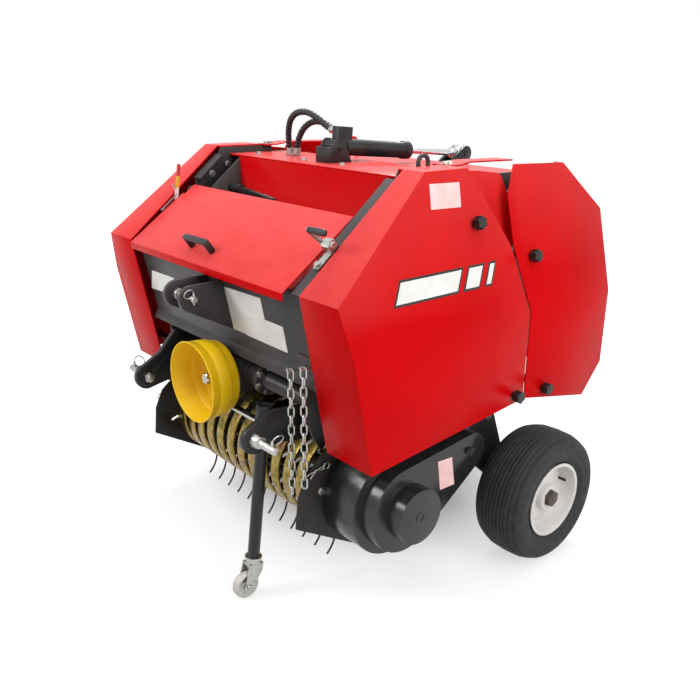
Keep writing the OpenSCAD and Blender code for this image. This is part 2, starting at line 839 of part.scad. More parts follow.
// Lifting eye of bent round bar standing on z = 0, its plane along Y
module eye_loop(r, wire, leg) {
  translate([0, 0, leg]) rotate([90, 0, 90]) rotate_extrude(angle = 180)
    translate([r, 0]) circle(wire, $fn = 24);
  for (s = [-1, 1]) translate([0, s * r, 0]) cylinder(h = leg, r = wire, $fn = 24);
}

module lifting_eye() {
  color(charcoal) placed() translate([396, -93, top_plate_z]) eye_loop(18, 6, 32);
}

barrel_z = top_plate_z + barrel_rise;
eye_z = gate_top_z + eye_rise;
barrel_pin = [barrel_y, barrel_z];
eye_pin = [eye_y, eye_z];
cyl_angle = atan2(eye_z - barrel_z, eye_y - barrel_y);
cyl_len = norm(eye_pin - barrel_pin);
barrel_len = 310;
barrel_neck = 38;
barrel_eye_half = 18;
rod_eye_half = 15;
bracket_t = 12;
rod_eye_r = cyl_pin_r + eye_play + 7;

// Draws in the cylinder's own frame: local +Z runs from the barrel's pivot to the rod's eye
module along_cylinder() {
  translate([0, barrel_pin[0], barrel_pin[1]]) rotate([cyl_angle - 90, 0, 0]) children();
}

module cylinder_bracket() {
  plate_x = barrel_eye_half + side_play;
  color(black) placed() {
    difference() {
      both_sides() yz_plate(plate_x, bracket_t) {
        polygon([[barrel_y - 42, top_plate_z], [barrel_y + 46, top_plate_z], [barrel_y + 24, barrel_z],
          [barrel_y - 42, barrel_z]]);
        disc_at(barrel_pin, 24);
      }
      bar_x(-60, 60, cyl_pin_r, barrel_pin);
    }
    translate([-plate_x, barrel_y - 42, top_plate_z]) cube([2 * plate_x, 8, barrel_z - top_plate_z]);
    bar_x(-plate_x - bracket_t - 4, plate_x + bracket_t + 4, cyl_pin_r, barrel_pin);
  }
}

port_half = 14;

module cylinder_barrel() {
  gland_t = 26;
  color(black) placed() along_cylinder() difference() {
    union() {
      translate([0, 0, barrel_neck]) cylinder(h = barrel_len - barrel_neck, r = barrel_r);
      translate([0, 0, barrel_len - gland_t]) cylinder(h = gland_t, r = barrel_r + 3);
      bar_x(-barrel_eye_half, barrel_eye_half, 22, [0, 0]);
      translate([-barrel_eye_half, -16, 0]) cube([2 * barrel_eye_half, 32, barrel_neck + 2]);
      translate([-port_half, -barrel_r - 34, 4]) cube([2 * port_half, 46, 56]);
    }
    bar_x(-50, 50, cyl_pin_r + run_fit, [0, 0]);
    translate([0, 0, 60]) cylinder(h = barrel_len, r = rod_r + run_fit);
  }
}

module cylinder_rod() {
  color(zinc) placed() along_cylinder() difference() {
    union() {
      translate([0, 0, barrel_len - 45]) cylinder(h = cyl_len - barrel_len + 45 - rod_eye_r + 4, r = rod_r);
      translate([0, 0, cyl_len - rod_eye_r - 26]) cylinder(h = 30, r = rod_r + 7);
      bar_x(-rod_eye_half, rod_eye_half, rod_eye_r, [0, cyl_len]);
    }
    bar_x(-50, 50, cyl_pin_r + eye_play, [0, cyl_len]);
  }
}

gate_bevel_high = [366, gate_top_z];
gate_bevel_low = [500, 1005];

module rod_lugs() {
  lug_x = rod_eye_half + side_play;
  foot_high = gate_bevel_high + (gate_bevel_low - gate_bevel_high) * 0.2;
  foot_low = gate_bevel_high + (gate_bevel_low - gate_bevel_high) * 0.9;
  color(black) placed() {
    both_sides() yz_plate(lug_x, 10) {
      polygon([foot_high, foot_low, eye_pin + [20, -18], eye_pin + [-14, 22]]);
      disc_at(eye_pin, 26);
    }
    bar_x(-lug_x - 14, lug_x + 14, cyl_pin_r, eye_pin);
  }
}

// Draws in the jack's own frame: local +Z runs up the leg, the caster's axle level at z = 0
module along_jack() {
  translate([jack_x, nose_y - front_reach + caster_r, caster_r]) rotate([-jack_lean, 0, 0])
    translate([0, caster_trail, 0]) children();
}

leg_low = 84;
leg_high = 512;
socket_low = 440;
socket_high = 528;
socket_t = 5;

module jack_socket() {
  color(black) placed() difference() {
    along_jack() translate([0, 0, socket_low])
      cylinder(h = socket_high - socket_low, r = leg_r + run_fit + socket_t);
    along_jack() cylinder(h = 600, r = leg_r + run_fit);
  }
  color(black) placed() intersection() {
    difference() {
      along_jack() translate([0, -14, socket_low + 8]) cube([60, 28, socket_high - socket_low - 16]);
      along_jack() cylinder(h = 600, r = leg_r + run_fit + socket_t - 1);
    }
    translate([0, -700, 0]) cube([arm_x, 700, 900]);
  }
}

module jack_leg() {
  color(black) placed() along_jack() difference() {
    translate([0, 0, leg_low]) cylinder(h = leg_high - leg_low, r = leg_r);
    translate([0, 0, leg_low + 40]) cylinder(h = leg_high, r = leg_r - 4);
  }
}

fork_t = 4;
fork_gap = 15;

module caster_fork() {
  top = leg_low - run_fit;
  color(zinc) placed() along_jack() {
    translate([0, 0, top - 10]) cylinder(h = 10, r = 24);
    translate([0, 0, top - 22]) cylinder(h = 12, r = 21);
    both_sides() {
      yz_plate(fork_gap, fork_t) {
        polygon([[-22, top - 20], [22, top - 20], [20, 40], [-caster_trail + 14, 0],
          [-caster_trail - 14, 0]]);
        disc_at([-caster_trail, 0], 14);
      }
      bar_x(fork_gap + fork_t, fork_gap + fork_t + 7, 8, [-caster_trail, 0]);
    }
    translate([-fork_gap - fork_t, -22, top - 24]) cube([2 * (fork_gap + fork_t), 44, 6]);
    bar_x(-fork_gap - 1, fork_gap + 1, 5, [-caster_trail, 0]);
  }
}

module caster_wheel() {
  half = 12.5;
  color("#dcdcd6") placed() along_jack() translate([-half, -caster_trail, 0]) rotate([0, 90, 0])
    difference() {
      rotate_extrude() polygon([
        [3, 0], [16, 0], [16, 3], [caster_r - 9, 3], [caster_r - 9, 0], [caster_r - 3, 0], [caster_r, 5],
        [caster_r, 2 * half - 5], [caster_r - 3, 2 * half], [caster_r - 9, 2 * half],
        [caster_r - 9, 2 * half - 3], [16, 2 * half - 3], [16, 2 * half], [3, 2 * half]]);
      translate([0, 0, -1]) cylinder(h = 2 * half + 2, r = 5 + run_fit);
    }
}

link_len = 35;
link_w = 20;
link_wire = 5;

// One flat chain link hanging down from its upper end, in the XZ plane
module chain_link() {
  translate([0, link_wire / 2, 0]) rotate([90, 0, 0]) linear_extrude(link_wire) difference() {
    union() {
      translate([-link_w / 2, -link_len + link_w / 2]) square([link_w, link_len - link_w]);
      for (z = [-link_w / 2, -link_len + link_w / 2]) translate([0, z]) circle(link_w / 2, $fn = 20);
    }
    translate([-link_w / 2 + link_wire, -link_len + link_w / 2])
      square([link_w - 2 * link_wire, link_len - link_w]);
    for (z = [-link_w / 2, -link_len + link_w / 2])
      translate([0, z]) circle(link_w / 2 - link_wire, $fn = 20);
  }
}

// Hanging chain of n links from the hook point p
module hung_chain(p, n) {
  for (i = [0:n - 1])
    translate([p[0], p[1], p[2] - i * (link_len - 2 * link_wire + 0.2)])
      rotate(i % 2 == 0 ? 35 : 125) chain_link();
}

hook_y = -512;
chain_hooks = [[372, 693, 14], [425, 713, 13]];

module chains() {
  plate_up = 25;
  color(zinc) placed() {
    for (h = chain_hooks) {
      hung_chain([h[0], hook_y, h[1]], h[2]);
      translate([h[0], hook_y - 8, h[1] - link_wire - 3.4]) rotate([-90, 0, 0])
        cylinder(h = panel_low[0] - (h[1] - panel_low[1]) / tan(180 - panel_angle) - hook_y + 5,
          r = 3.6, $fn = 24);
    }
    translate([0, panel_low[0], panel_low[1]]) rotate([panel_angle, 0, 0])
      translate([352, 14, 0]) cube([76, 48, 6]);
  }
}

// Twine crank: bracket on the bevel bar, spindle, arm and grip
module crank_handle() {
  seat = bevel_plane(-410, bar_drop);
  spindle = seat + [-14, 17];
  grip = seat + [-64, 56];
  arm_in = shoulder_x - 26;
  color(zinc) placed() {
    translate([shoulder_x - 14, seat[0], seat[1]]) rotate([bevel_angle, 0, 0])
      translate([0, -16, 0]) cube([30, 32, 34]);
    bar_x(arm_in, shoulder_x + 22, 7, spindle);
    yz_plate(arm_in, 10) {
      strip(spindle, grip, 12);
      disc_at(spindle, 10);
    }
    bar_x(arm_in, shoulder_x + 50, 9, grip);
  }
}

// Bale-size stick and its dial on the left shoulder plate
module indicator() {
  foot = [-372, 968];
  face = shoulder_x + plate_t;
  color("#e6c229") placed() {
    yz_plate(-face - 10, 3) strip(foot, [-350, 1114], 12);
    bar_x(-face - 10, -face, 5, foot + [2, 2]);
    bar_x(-face - 6, -face, 22, [-262, 1056]);
  }
}

hose_r = 10;
hose_routes = [
  [[-14.4, -46, 1231], [-28, -46, 1231], [-52, -50, 1240], [-85, -60, 1262], [-125, -70, 1278],
   [-168, -76, 1274], [-205, -72, 1252], [-230, -62, 1218], [-243, -52, 1182], [-246, -46, 1160],
   [-246, -46, 1140]],
  [[-14.4, -19, 1221], [-28, -19, 1221], [-50, -20, 1226], [-80, -24, 1240], [-115, -28, 1250],
   [-150, -32, 1246], [-182, -35, 1229], [-205, -36, 1203], [-218, -36, 1176], [-221, -36, 1158],
   [-221, -36, 1140]]];

function ring_at(p, d, r, n) =
  let (z = d / norm(d), s = cross(z, [0, 1, 0]), u = s / norm(s), v = cross(z, u))
  [for (i = [0:n - 1]) p + r * (cos(i * 360 / n) * u + sin(i * 360 / n) * v)];

// Tube of radius r swept along the points of a route
module swept_tube(route, r) {
  n = 10;
  m = len(route);
  rings = [for (i = [0:m - 1])
    ring_at(route[i], route[min(i + 1, m - 1)] - route[max(i - 1, 0)], r, n)];
  points = [for (ring = rings) each ring];
  sides = [for (i = [0:m - 2], j = [0:n - 1])
    [i * n + j, i * n + (j + 1) % n, (i + 1) * n + (j + 1) % n, (i + 1) * n + j]];
  ends = [[for (j = [n - 1:-1:0]) j], [for (j = [0:n - 1]) (m - 1) * n + j]];
  polyhedron(points, concat(sides, ends));
}

module hoses() {
  color(black) placed() for (route = hose_routes) swept_tube(route, hose_r);
}

module lid() {
  lip = 20;
  length = norm(lid_high - lid_low);
  notch_x = -shoulder_x + 7;
  ear = [[lid_right - 18, 12], [-shoulder_x + 3, 12]];
  color(red) placed() difference() {
    union() {
      sheet_on(lid_low, lid_high, lid_t) polygon([
        [lid_left, 0], [lid_right, 0], [lid_right, length], [notch_x, length], [notch_x, length - 45],
        [lid_left, length - 45]]);
      translate([lid_left, lid_low[0], lid_low[1] - lip]) cube([lid_right - lid_left, lid_t, lip]);
      for (e = ear) yz_plate(e[0], e[1]) {
        polygon([lid_hinge + [-10, -6], lid_hinge + [10, 0], lid_high + [-4, -3],
          lid_plane(lid_high[0] - 40, 2)]);
        disc_at(lid_hinge, 11);
      }
    }
    for (e = ear) bar_x(e[0] - 1, e[0] + e[1] + 1, lid_pin_r + run_fit, lid_hinge);
  }
}

module lid_handle() {
  grip_w = 120;
  foot = lid_plane(-500, 0);
  color(black) placed() translate([-120, foot[0], foot[1]]) rotate([lid_angle, 0, 0]) {
    for (x = [0, grip_w - 14]) translate([x, 0, 0]) cube([14, 18, 30]);
    translate([0, 0, 30]) cube([grip_w, 18, 12]);
  }
}

module gate_outline() {
  polygon([
    hinge + [0, 42], [250, gate_top_z], gate_bevel_high, gate_bevel_low, [505, 1000], [505, 560], [440, 470],
    [200, 452], [seam_y + 10, 480], [seam_y + 10, hinge[1] - 45], hinge + [-10, -40]]);
  disc_at(hinge, 42);
}

module tailgate_frame() {
  tie_p = [462, 520];
  color(charcoal) placed() difference() {
    union() {
      both_sides() {
        yz_plate(gate_x, gate_t) gate_outline();
        for (p = gate_posts_low) bar_x(gate_x + gate_t - 1, cover_half_w - cover_t, post_r, p);
        for (p = gate_post_high) intersection() {
          bar_x(gate_x + gate_t - 1, cover_half_w, post_r, p);
          under_lean();
        }
      }
      bar_x(-gate_x - 1, gate_x + 1, 20, tie_p);
    }
    both_sides() bar_x(gate_x - 1, gate_x + gate_t + 1, hinge_r + run_fit, hinge);
  }
}

module tailgate_rollers() {
  color(charcoal) placed() for (a = gate_roller_angles) roller(gate_x, ring_point(a), a);
}

module tailgate_top() {
  color(red) placed() {
    translate([-gate_x, 165, gate_top_z - sheet_t])
      cube([2 * gate_x, gate_bevel_high[0] - 165 + 1, sheet_t]);
    sheet_on(gate_bevel_high, gate_bevel_low, sheet_t)
      translate([-gate_x, 0]) square([2 * gate_x, norm(gate_bevel_low - gate_bevel_high)]);
    translate([-gate_x + 30, 300, gate_top_z - 1]) eye_loop(18, 6, 40);
  }
}

gate_cover_top = [366, 1156];

// One tailgate cover on the +X side: folded panel with a narrow flange round its rear edges
module tailgate_cover() {
  edge_y = seam_y + seam_gap / 2;
  fold_w = 30;
  low_rear = [446, 447];
  bevel_rear = [rear_y, 541];
  top_rear = [rear_y, 1015];
  difference() {
    intersection() {
      yz_plate(shoulder_x - 112, cover_half_w) polygon([
        [edge_y, 514], [edge_y, fold_z], [edge_y - 42, cover_cut_low[1]], [edge_y - 42, 1085],
        [edge_y - 3, cover_top_z - 1], gate_cover_top, top_rear, bevel_rear, low_rear]);
      under_cover(0);
    }
    under_cover(fold_w);
    intersection() {
      yz_plate(shoulder_x - 162, cover_half_w) polygon([
        run_in(gate_cover_top, top_rear, cover_t, 150), mitre(gate_cover_top, top_rear, bevel_rear, cover_t),
        mitre(top_rear, bevel_rear, low_rear, cover_t), run_out(bevel_rear, low_rear, cover_t, 60),
        [0, 350], [0, 1250]]);
      under_cover(cover_t);
    }
  }
}

module tailgate_cover_right() {
  color(red) placed() tailgate_cover();
}

module tailgate_cover_left() {
  color(red) placed() mirror([1, 0, 0]) tailgate_cover();
}

side_walls();
chamber_rollers();
front_panel();
shoulder_frame();
top_plate();
hinge_flaps();
twine_box();
twine_gear();
front_cover_left();
front_cover_right();
cover_posts();
cover_knobs();
gearbox();
drive_tube();
pto_guard();
pto_shaft();
lower_arms();
lower_pins();
hitch_beam();
top_link_ears();
top_link_pin();
pickup_plates();
pickup_bands();
pickup_tube();
pickup_reel();
chain_case();
feed_floor();
axle_beam();
wheel_arms();
tyre_left();
tyre_right();
rim_left();
rim_right();
lifting_eye();
cylinder_bracket();
jack_socket();
jack_leg();
caster_fork();
caster_wheel();
chains();
crank_handle();
indicator();
hoses();
cylinder_barrel();
cylinder_rod();
lid();
lid_handle();
tailgate_frame();
tailgate_rollers();
tailgate_top();
rod_lugs();
tailgate_cover_left();
tailgate_cover_right();
tailgate_knobs();
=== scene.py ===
"""Mini round baler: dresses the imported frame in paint, plating, rubber and small fittings.

Lengths in the tables are millimetres, measured as in the part's source: X towards the chain case,
Y rearwards from the middle of the side covers, Z up from the ground. Meshes are in metres.
"""

import json
import math

import bmesh
import bpy
from bpy.props import FloatProperty, FloatVectorProperty, IntProperty, PointerProperty
from mathutils import Matrix, Vector

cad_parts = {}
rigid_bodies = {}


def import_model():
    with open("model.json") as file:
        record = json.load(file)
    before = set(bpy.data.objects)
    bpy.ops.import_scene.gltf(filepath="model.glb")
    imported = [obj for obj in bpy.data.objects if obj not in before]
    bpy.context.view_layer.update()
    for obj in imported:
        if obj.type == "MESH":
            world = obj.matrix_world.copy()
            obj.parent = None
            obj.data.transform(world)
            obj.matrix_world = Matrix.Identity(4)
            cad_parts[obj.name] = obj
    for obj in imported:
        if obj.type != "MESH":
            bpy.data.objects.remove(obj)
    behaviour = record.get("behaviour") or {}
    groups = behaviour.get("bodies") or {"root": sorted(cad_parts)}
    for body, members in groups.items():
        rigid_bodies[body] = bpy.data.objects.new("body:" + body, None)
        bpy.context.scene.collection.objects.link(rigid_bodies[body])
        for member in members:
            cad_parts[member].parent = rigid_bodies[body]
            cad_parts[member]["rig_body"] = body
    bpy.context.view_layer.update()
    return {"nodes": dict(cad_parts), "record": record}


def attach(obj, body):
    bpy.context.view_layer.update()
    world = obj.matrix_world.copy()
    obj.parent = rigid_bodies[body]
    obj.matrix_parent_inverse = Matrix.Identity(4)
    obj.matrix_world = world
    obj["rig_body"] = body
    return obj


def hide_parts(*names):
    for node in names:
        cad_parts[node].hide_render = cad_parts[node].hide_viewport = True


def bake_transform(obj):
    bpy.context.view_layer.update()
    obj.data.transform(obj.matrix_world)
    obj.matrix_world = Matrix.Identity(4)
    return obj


bl_info = {
    "name": "Mini round baler",
    "version": (1, 0, 0),
    "blender": (4, 5, 0),
    "location": "View3D > Sidebar > Baler",
    "description": "Builds the looks of a mini round baler on its packed frame",
    "category": "Object",
}

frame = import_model()

COVERS_MIDDLE = 52.5  # how far the covers' middle lies behind the part's origin
NODE_SLOT = {part["node"]: part["material_slot"] for part in frame["record"]["subparts"]}

# Where things are, as in the part's source
REEL = (-281, 294)
REEL_END, REEL_SHAFT_R = 393.5, 20
DISC_IN, DISC_R, DISC_T = 360, 118, 6
BAND_R, BAND_LOW_ANGLE, BAND_FOOT = 153, 247, (-46, 190)
TAIL_REACH, TAIL_BAR = 250, 12
TINE_ROOT, TINE_BEND, TINE_TIP = 95, 190, 241
TINE_BAR_R = 12
ROW_TURN = 76
TINE_PITCH, TINES_IN_ROW, TINE_ROWS = 59, 12, 2
SLOT_W = 23
PICKUP_X = 388
PLATE_SLOTS = (((-450, 273), (-415, 284), 5), ((-374, 178), (-360, 174), 4))
PANEL_LOW, PANEL_HIGH = (-458, 660), (-505, 890)
SHAFT_Z = 560
WHEEL, HUB_FACE, HUB_R = (625, 212, 200), 680.2, 40
CASTER_AXLE, CASTER_HUB_R = (-597.5, 37.5), 12
CASE_FACE, CASE_BOLT = 570, (-49, 397)
CRANK_X, CRANK_SEAT, BEVEL = 413, (-410, 984), math.atan2(271, 338)
SPINDLE, GRIP = (-424, 1001), (-474, 1040)
STICK_BACK = -300
FLAT_BAR_TOP = 480
LINK_LEN, LINK_W, LINK_WIRE, LINK_PITCH = 35, 20, 5, 25.2
CHAIN_HOOKS = ((372, 693, 14), (425, 713, 13))
HOOK_Y = -512
HOSE_ROUTES = (
    ((-14.4, -46, 1231), (-28, -46, 1231), (-52, -50, 1240), (-85, -60, 1262), (-125, -70, 1278),
     (-168, -76, 1274), (-205, -72, 1252), (-230, -62, 1218), (-243, -52, 1182), (-246, -46, 1160),
     (-246, -46, 1140)),
    ((-14.4, -19, 1221), (-28, -19, 1221), (-50, -20, 1226), (-80, -24, 1240), (-115, -28, 1250),
     (-150, -32, 1246), (-182, -35, 1229), (-205, -36, 1203), (-218, -36, 1176), (-221, -36, 1158),
     (-221, -36, 1140)),
)

# Covers, and the blank stickers on them, on the panel and on the chain case
COVER_HALF, FOLD_Z, COVER_LEAN = 605, 773, math.radians(14)
PANEL_SHEETS = (
    ((35, 833), (220, 838), (222, 707), (37, 707)),
    ((112, 779), (301, 777), (301, 704), (112, 705)),
    ((-429, 729), (-280, 737), (-250, 799), (-391, 797)),
)
CASE_SHEET = ((-169, 399), (-113, 396), (-97, 307), (-155, 309))
COVER_SHEET = ((-192, 1136), (-84, 1133), (-89, 1073), (-197, 1076))
STRIPE_RUNS = ((-365, -138), (-120, -56), (-38, -8))
STRIPE_Z = (867, 928)
STRIPE_RIM, STRIPE_SLANT = 6, 0.5

# Bolts on both sides: body, x, (y, z) places, and True where they face outwards and not up
PAIRED_BOLTS = (
    ("chassis", 410, ((-24, 1165), (-8, 1165)), False),
    ("chassis", 486, ((48, 418), (140, 418), (44, 352)), True),
    ("chassis", 90, ((-110, 1140),), False),
    ("chassis", 330, ((-110, 1140),), False),
    ("tailgate", 372, ((300, 1060), (420, 960), (420, 640)), True),
)
# Bolts on one side, which face along X, and the ring of six on the gearbox: x, middle and radius
SINGLE_BOLTS = ((-412, -239, 1079), (-412, -177, 1107), (394, -433, 329))
GEARBOX_BOLTS = (156, (-430, 577), 33)
# Ring clips: the pin's x, y, ends and radius, the ring's middle and lean, and the radii of ring and wire
RING_CLIPS = (
    ((-378, -577, 476, 516, 4), (-378, -560, 512), -0.5, 17, 1.8),
    ((378, -577, 476, 516, 4), (378, -560, 512), 0.5, 17, 1.8),
    ((57, -595, 800, 836, 3.2), (57, -609, 832), 0.4, 14, 1.6),
)
# Hairpin clips on the pickup plates: x, loop (y, z) and the heading of the legs; legs as (run, rise)
HAIRPINS = ((400, (-419, 403), math.pi + 0.19), (-402, (-484, 362), -0.35))
HAIRPIN_WIRE, HAIRPIN_LOOP_R, HAIRPIN_PIN = 1.7, 9, 36
HAIRPIN_BOW = ((8, 3), (22, 3), (36, -5), (48, 4), (58, 11))
HAIRPIN_LEG = ((8, -4), (72, -4))
# The draw latch beside the lid: its x, and (y, z) of its foot, head and lever tip
LATCH_X, LATCH_HALF = -428, 5
LATCH = ((-411, 982), (-363, 1021), (-374, 1054))

# Softboxes: name, place, aim, side and watts. Floor: half its side and its depth below the tyres, and the
# middle of the painted shadow on it below the bale chamber. In metres.
LAMPS = (
    ("overhead", (0.3, -0.4, 3.2), (0, 0, 0.7), 3.4, 50),
    ("side", (3.4, -0.2, 2.0), (0, 0, 0.6), 2.2, 66),
    ("front", (-1.3, -2.9, 2.7), (0, 0, 0.7), 1.1, 56),
    ("key", (-1.5, 1.9, 3.6), (0, 0, 0.7), 0.8, 95),
)
FLOOR_HALF, FLOOR_DEPTH = 9, 0.0008
PAINTED_SHADOW_MIDDLE = (-0.1, 0.3, 0)

# Cleaning of a CAD node: metres within which corners are one, and the angles of flat, rounded and sharp edges
MERGE = 2e-5
FLAT, ROUNDED, SHARP = math.radians(0.6), math.radians(38), math.radians(32)

# The photograph's camera: place in the part's frame in metres, and its axes
CAMERA_PLACE = (1.8495, -1.5498, 1.3766)
CAMERA_RIGHT = (0.65347587, 0.75686644, 0.01106701)
CAMERA_UP = (-0.25450496, 0.20592234, 0.94489323)
CAMERA_BACK = (0.71287903, -0.62028153, 0.32719154)
CAMERA_LENS, CAMERA_SENSOR = 40.34, 36


def linear(code):
    """sRGB hex to the linear colour that shaders take."""
    channels = [int(code[i:i + 2], 16) / 255 for i in (1, 3, 5)]
    return tuple(c / 12.92 if c <= 0.04045 else ((c + 0.055) / 1.055) ** 2.4 for c in channels)


class BalerColours(bpy.types.PropertyGroup):
    """Colours of the paints, plastics and rubber"""

    red: FloatVectorProperty(name="Red enamel", description="Sheet work of covers and lid",
                             subtype="COLOR", size=3, min=0, max=1, default=linear("#c9070c"))
    charcoal: FloatVectorProperty(name="Charcoal enamel", description="Frame, panel and rollers",
                                  subtype="COLOR", size=3, min=0, max=1, default=linear("#3b3738"))
    black: FloatVectorProperty(name="Black enamel", description="Hitch, jack and cylinder",
                               subtype="COLOR", size=3, min=0, max=1, default=linear("#232223"))
    umber: FloatVectorProperty(name="Umber enamel", description="Pickup plates",
                               subtype="COLOR", size=3, min=0, max=1, default=linear("#201c1a"))
    guard: FloatVectorProperty(name="Yellow polyethylene", description="Bell over the input shaft",
                               subtype="COLOR", size=3, min=0, max=1, default=linear("#f3c40a"))
    rim: FloatVectorProperty(name="White enamel", description="Wheel rims",
                             subtype="COLOR", size=3, min=0, max=1, default=linear("#dcd9d6"))
    tyre: FloatVectorProperty(name="Tyre rubber", description="Tyres",
                              subtype="COLOR", size=3, min=0, max=1, default=linear("#2b2b2b"))


class BalerSizes(bpy.types.PropertyGroup):
    """Sizes of folds, wires, grooves and fasteners"""

    fold: FloatProperty(name="Fold radius", description="Rounding of folded sheet edges",
                        default=0.0016, min=0.0002, max=0.003, unit="LENGTH")
    edge: FloatProperty(name="Edge radius", description="Rounding of plate and casting edges",
                        default=0.0011, min=0.0002, max=0.003, unit="LENGTH")
    tine_wire: FloatProperty(name="Tine wire", description="Radius of the tines' spring wire",
                             default=0.0032, min=0.002, max=0.004, unit="LENGTH")
    groove_pitch: FloatProperty(name="Tread groove pitch", description="Spacing of the tread grooves",
                                default=0.0125, min=0.008, max=0.02, unit="LENGTH")
    groove_depth: FloatProperty(name="Tread groove depth", description="Depth of the tread grooves",
                                default=0.0045, min=0.001, max=0.008, unit="LENGTH")
    bolt_across: FloatProperty(name="Bolt head", description="Radius of a full-size bolt head",
                               default=0.0085, min=0.004, max=0.012, unit="LENGTH")
    splines: IntProperty(name="Shaft splines", description="Number of splines on the input shaft",
                         default=6, min=4, max=21)
    wrap_pitch: FloatProperty(name="Hose wrap pitch", description="Pitch of the hoses' spiral guard",
                              default=0.0125, min=0.006, max=0.03, unit="LENGTH")


def spot(x, y, z):
    """A point of the part's source, in metres in the part's frame."""
    return Vector((x, y + COVERS_MIDDLE, z)) / 1000


def put(tree, kind, settings=None, inputs=None):
    """Adds a node. Inputs are values, or sockets to link from; stops are a ramp's places and colours."""
    node = tree.nodes.new(kind)
    for key, value in (settings or {}).items():
        if key == "stops":
            elements = node.color_ramp.elements
            while len(elements) < len(value):
                elements.new(0.5)
            for element, (place, colour) in zip(elements, value):
                element.position = place
                element.color = (*colour, 1)
        else:
            setattr(node, key, value)
    for key, value in (inputs or {}).items():
        if isinstance(value, bpy.types.NodeSocket):
            tree.links.new(value, node.inputs[key])
        else:
            node.inputs[key].default_value = value
    return node


def shade(colour, factor):
    """A colour made lighter or darker."""
    return tuple(min(1.0, c * factor) for c in colour)


def blank_material(name):
    """A new material with its tree, object coordinates and shader."""
    material = bpy.data.materials.new(name)
    material.use_nodes = True
    tree = material.node_tree
    tree.nodes.clear()
    where = put(tree, "ShaderNodeTexCoord").outputs["Object"]
    shader = put(tree, "ShaderNodeBsdfPrincipled")
    put(tree, "ShaderNodeOutputMaterial", inputs={"Surface": shader.outputs[0]})
    return material, tree, where, shader


def between(low, high, start=0.3, end=0.7):
    """The stops of a ramp between two colours."""
    return (start, low), (end, high)


def surface(name, stops, drift, grain, relief, rough, detail=3.0, **constants):
    """A procedural surface: colour drifts over drift mm, grain of grain mm gives relief and gloss."""
    material, tree, where, shader = blank_material(name)
    clouds = put(tree, "ShaderNodeTexNoise", {}, {"Vector": where, "Scale": 1000 / drift, "Detail": detail})
    tint = put(tree, "ShaderNodeValToRGB", {"stops": stops}, {"Fac": clouds.outputs["Fac"]})
    tree.links.new(tint.outputs["Color"], shader.inputs["Base Color"])
    patches = put(tree, "ShaderNodeTexNoise", {}, {"Vector": where, "Scale": 2500 / drift, "Detail": 4.0})
    gloss = put(tree, "ShaderNodeMapRange", {}, {
        "Value": patches.outputs["Fac"], "From Min": 0.3, "From Max": 0.7,
        "To Min": rough[0], "To Max": rough[1]})
    tree.links.new(gloss.outputs["Result"], shader.inputs["Roughness"])
    peel = put(tree, "ShaderNodeTexNoise", {}, {"Vector": where, "Scale": 1000 / grain, "Detail": 2.0})
    bump = put(tree, "ShaderNodeBump", {}, {
        "Height": peel.outputs["Fac"], "Strength": relief, "Distance": grain / 4000})
    tree.links.new(bump.outputs["Normal"], shader.inputs["Normal"])
    for key, value in constants.items():
        shader.inputs[key.replace("_", " ")].default_value = value
    return material


def red_enamel(colours):
    """Baked enamel on pressed sheet: deep red, soft orange peel, with a painted pale sheen on faces that look
    up.
    """
    material, tree, where, shader = blank_material("red_enamel_on_sheet_steel")
    clouds = put(tree, "ShaderNodeTexNoise", {}, {"Vector": where, "Scale": 1000 / 180, "Detail": 2.0})
    tint = put(tree, "ShaderNodeValToRGB", {
        "stops": between(shade(colours.red, 0.93), shade(colours.red, 1.06))},
        {"Fac": clouds.outputs["Fac"]})
    # Painted sheen: faces that look up are mixed towards pale rose in uneven 60 mm patches, standing in for
    # the reflection of the lamps overhead
    facing = put(tree, "ShaderNodeNewGeometry").outputs["Normal"]
    up = put(tree, "ShaderNodeSeparateXYZ", {}, {"Vector": facing}).outputs["Z"]
    sheen_and_gloss_patches = put(tree, "ShaderNodeTexNoise", {}, {"Vector": where, "Scale": 1000 / 60, "Detail": 4.0})
    sheen_on_upward_faces = put(tree, "ShaderNodeMapRange", {}, {
        "Value": up, "From Min": 0.2, "From Max": 0.9, "To Min": 0.0, "To Max": 0.34})
    uneven = put(tree, "ShaderNodeMapRange", {}, {
        "Value": sheen_and_gloss_patches.outputs["Fac"], "To Min": 0.75, "To Max": 1.25})
    painted_sheen = put(tree, "ShaderNodeMath", {"operation": "MULTIPLY"}, {0: sheen_on_upward_faces.outputs[0], 1: uneven.outputs[0]})
    # pale rose #e87a78 is the colour of the painted sheen
    tint_with_painted_sheen = put(tree, "ShaderNodeMix", {"data_type": "RGBA"}, {
        "Factor": painted_sheen.outputs[0], 6: tint.outputs["Color"], 7: (*linear("#e87a78"), 1)})
    tree.links.new(tint_with_painted_sheen.outputs[2], shader.inputs["Base Color"])
    # Orange peel of 4 mm on a slow wave of 220 mm that the press left
    peel = put(tree, "ShaderNodeTexNoise", {}, {"Vector": where, "Scale": 1000 / 4, "Detail": 1.0})
    wave = put(tree, "ShaderNodeTexNoise", {}, {"Vector": where, "Scale": 1000 / 220, "Detail": 0.0})
    fine = put(tree, "ShaderNodeBump", {}, {
        "Height": peel.outputs["Fac"], "Strength": 0.03, "Distance": 0.0006})
    slow = put(tree, "ShaderNodeBump", {}, {
        "Height": wave.outputs["Fac"], "Strength": 0.15, "Distance": 0.012, "Normal": fine.outputs["Normal"]})
    tree.links.new(slow.outputs["Normal"], shader.inputs["Normal"])
    gloss = put(tree, "ShaderNodeMapRange", {}, {
        "Value": sheen_and_gloss_patches.outputs["Fac"], "From Min": 0.3, "From Max": 0.7, "To Min": 0.24, "To Max": 0.34})
    tree.links.new(gloss.outputs["Result"], shader.inputs["Roughness"])
    shader.inputs["Specular IOR Level"].default_value = 0.035
    return material


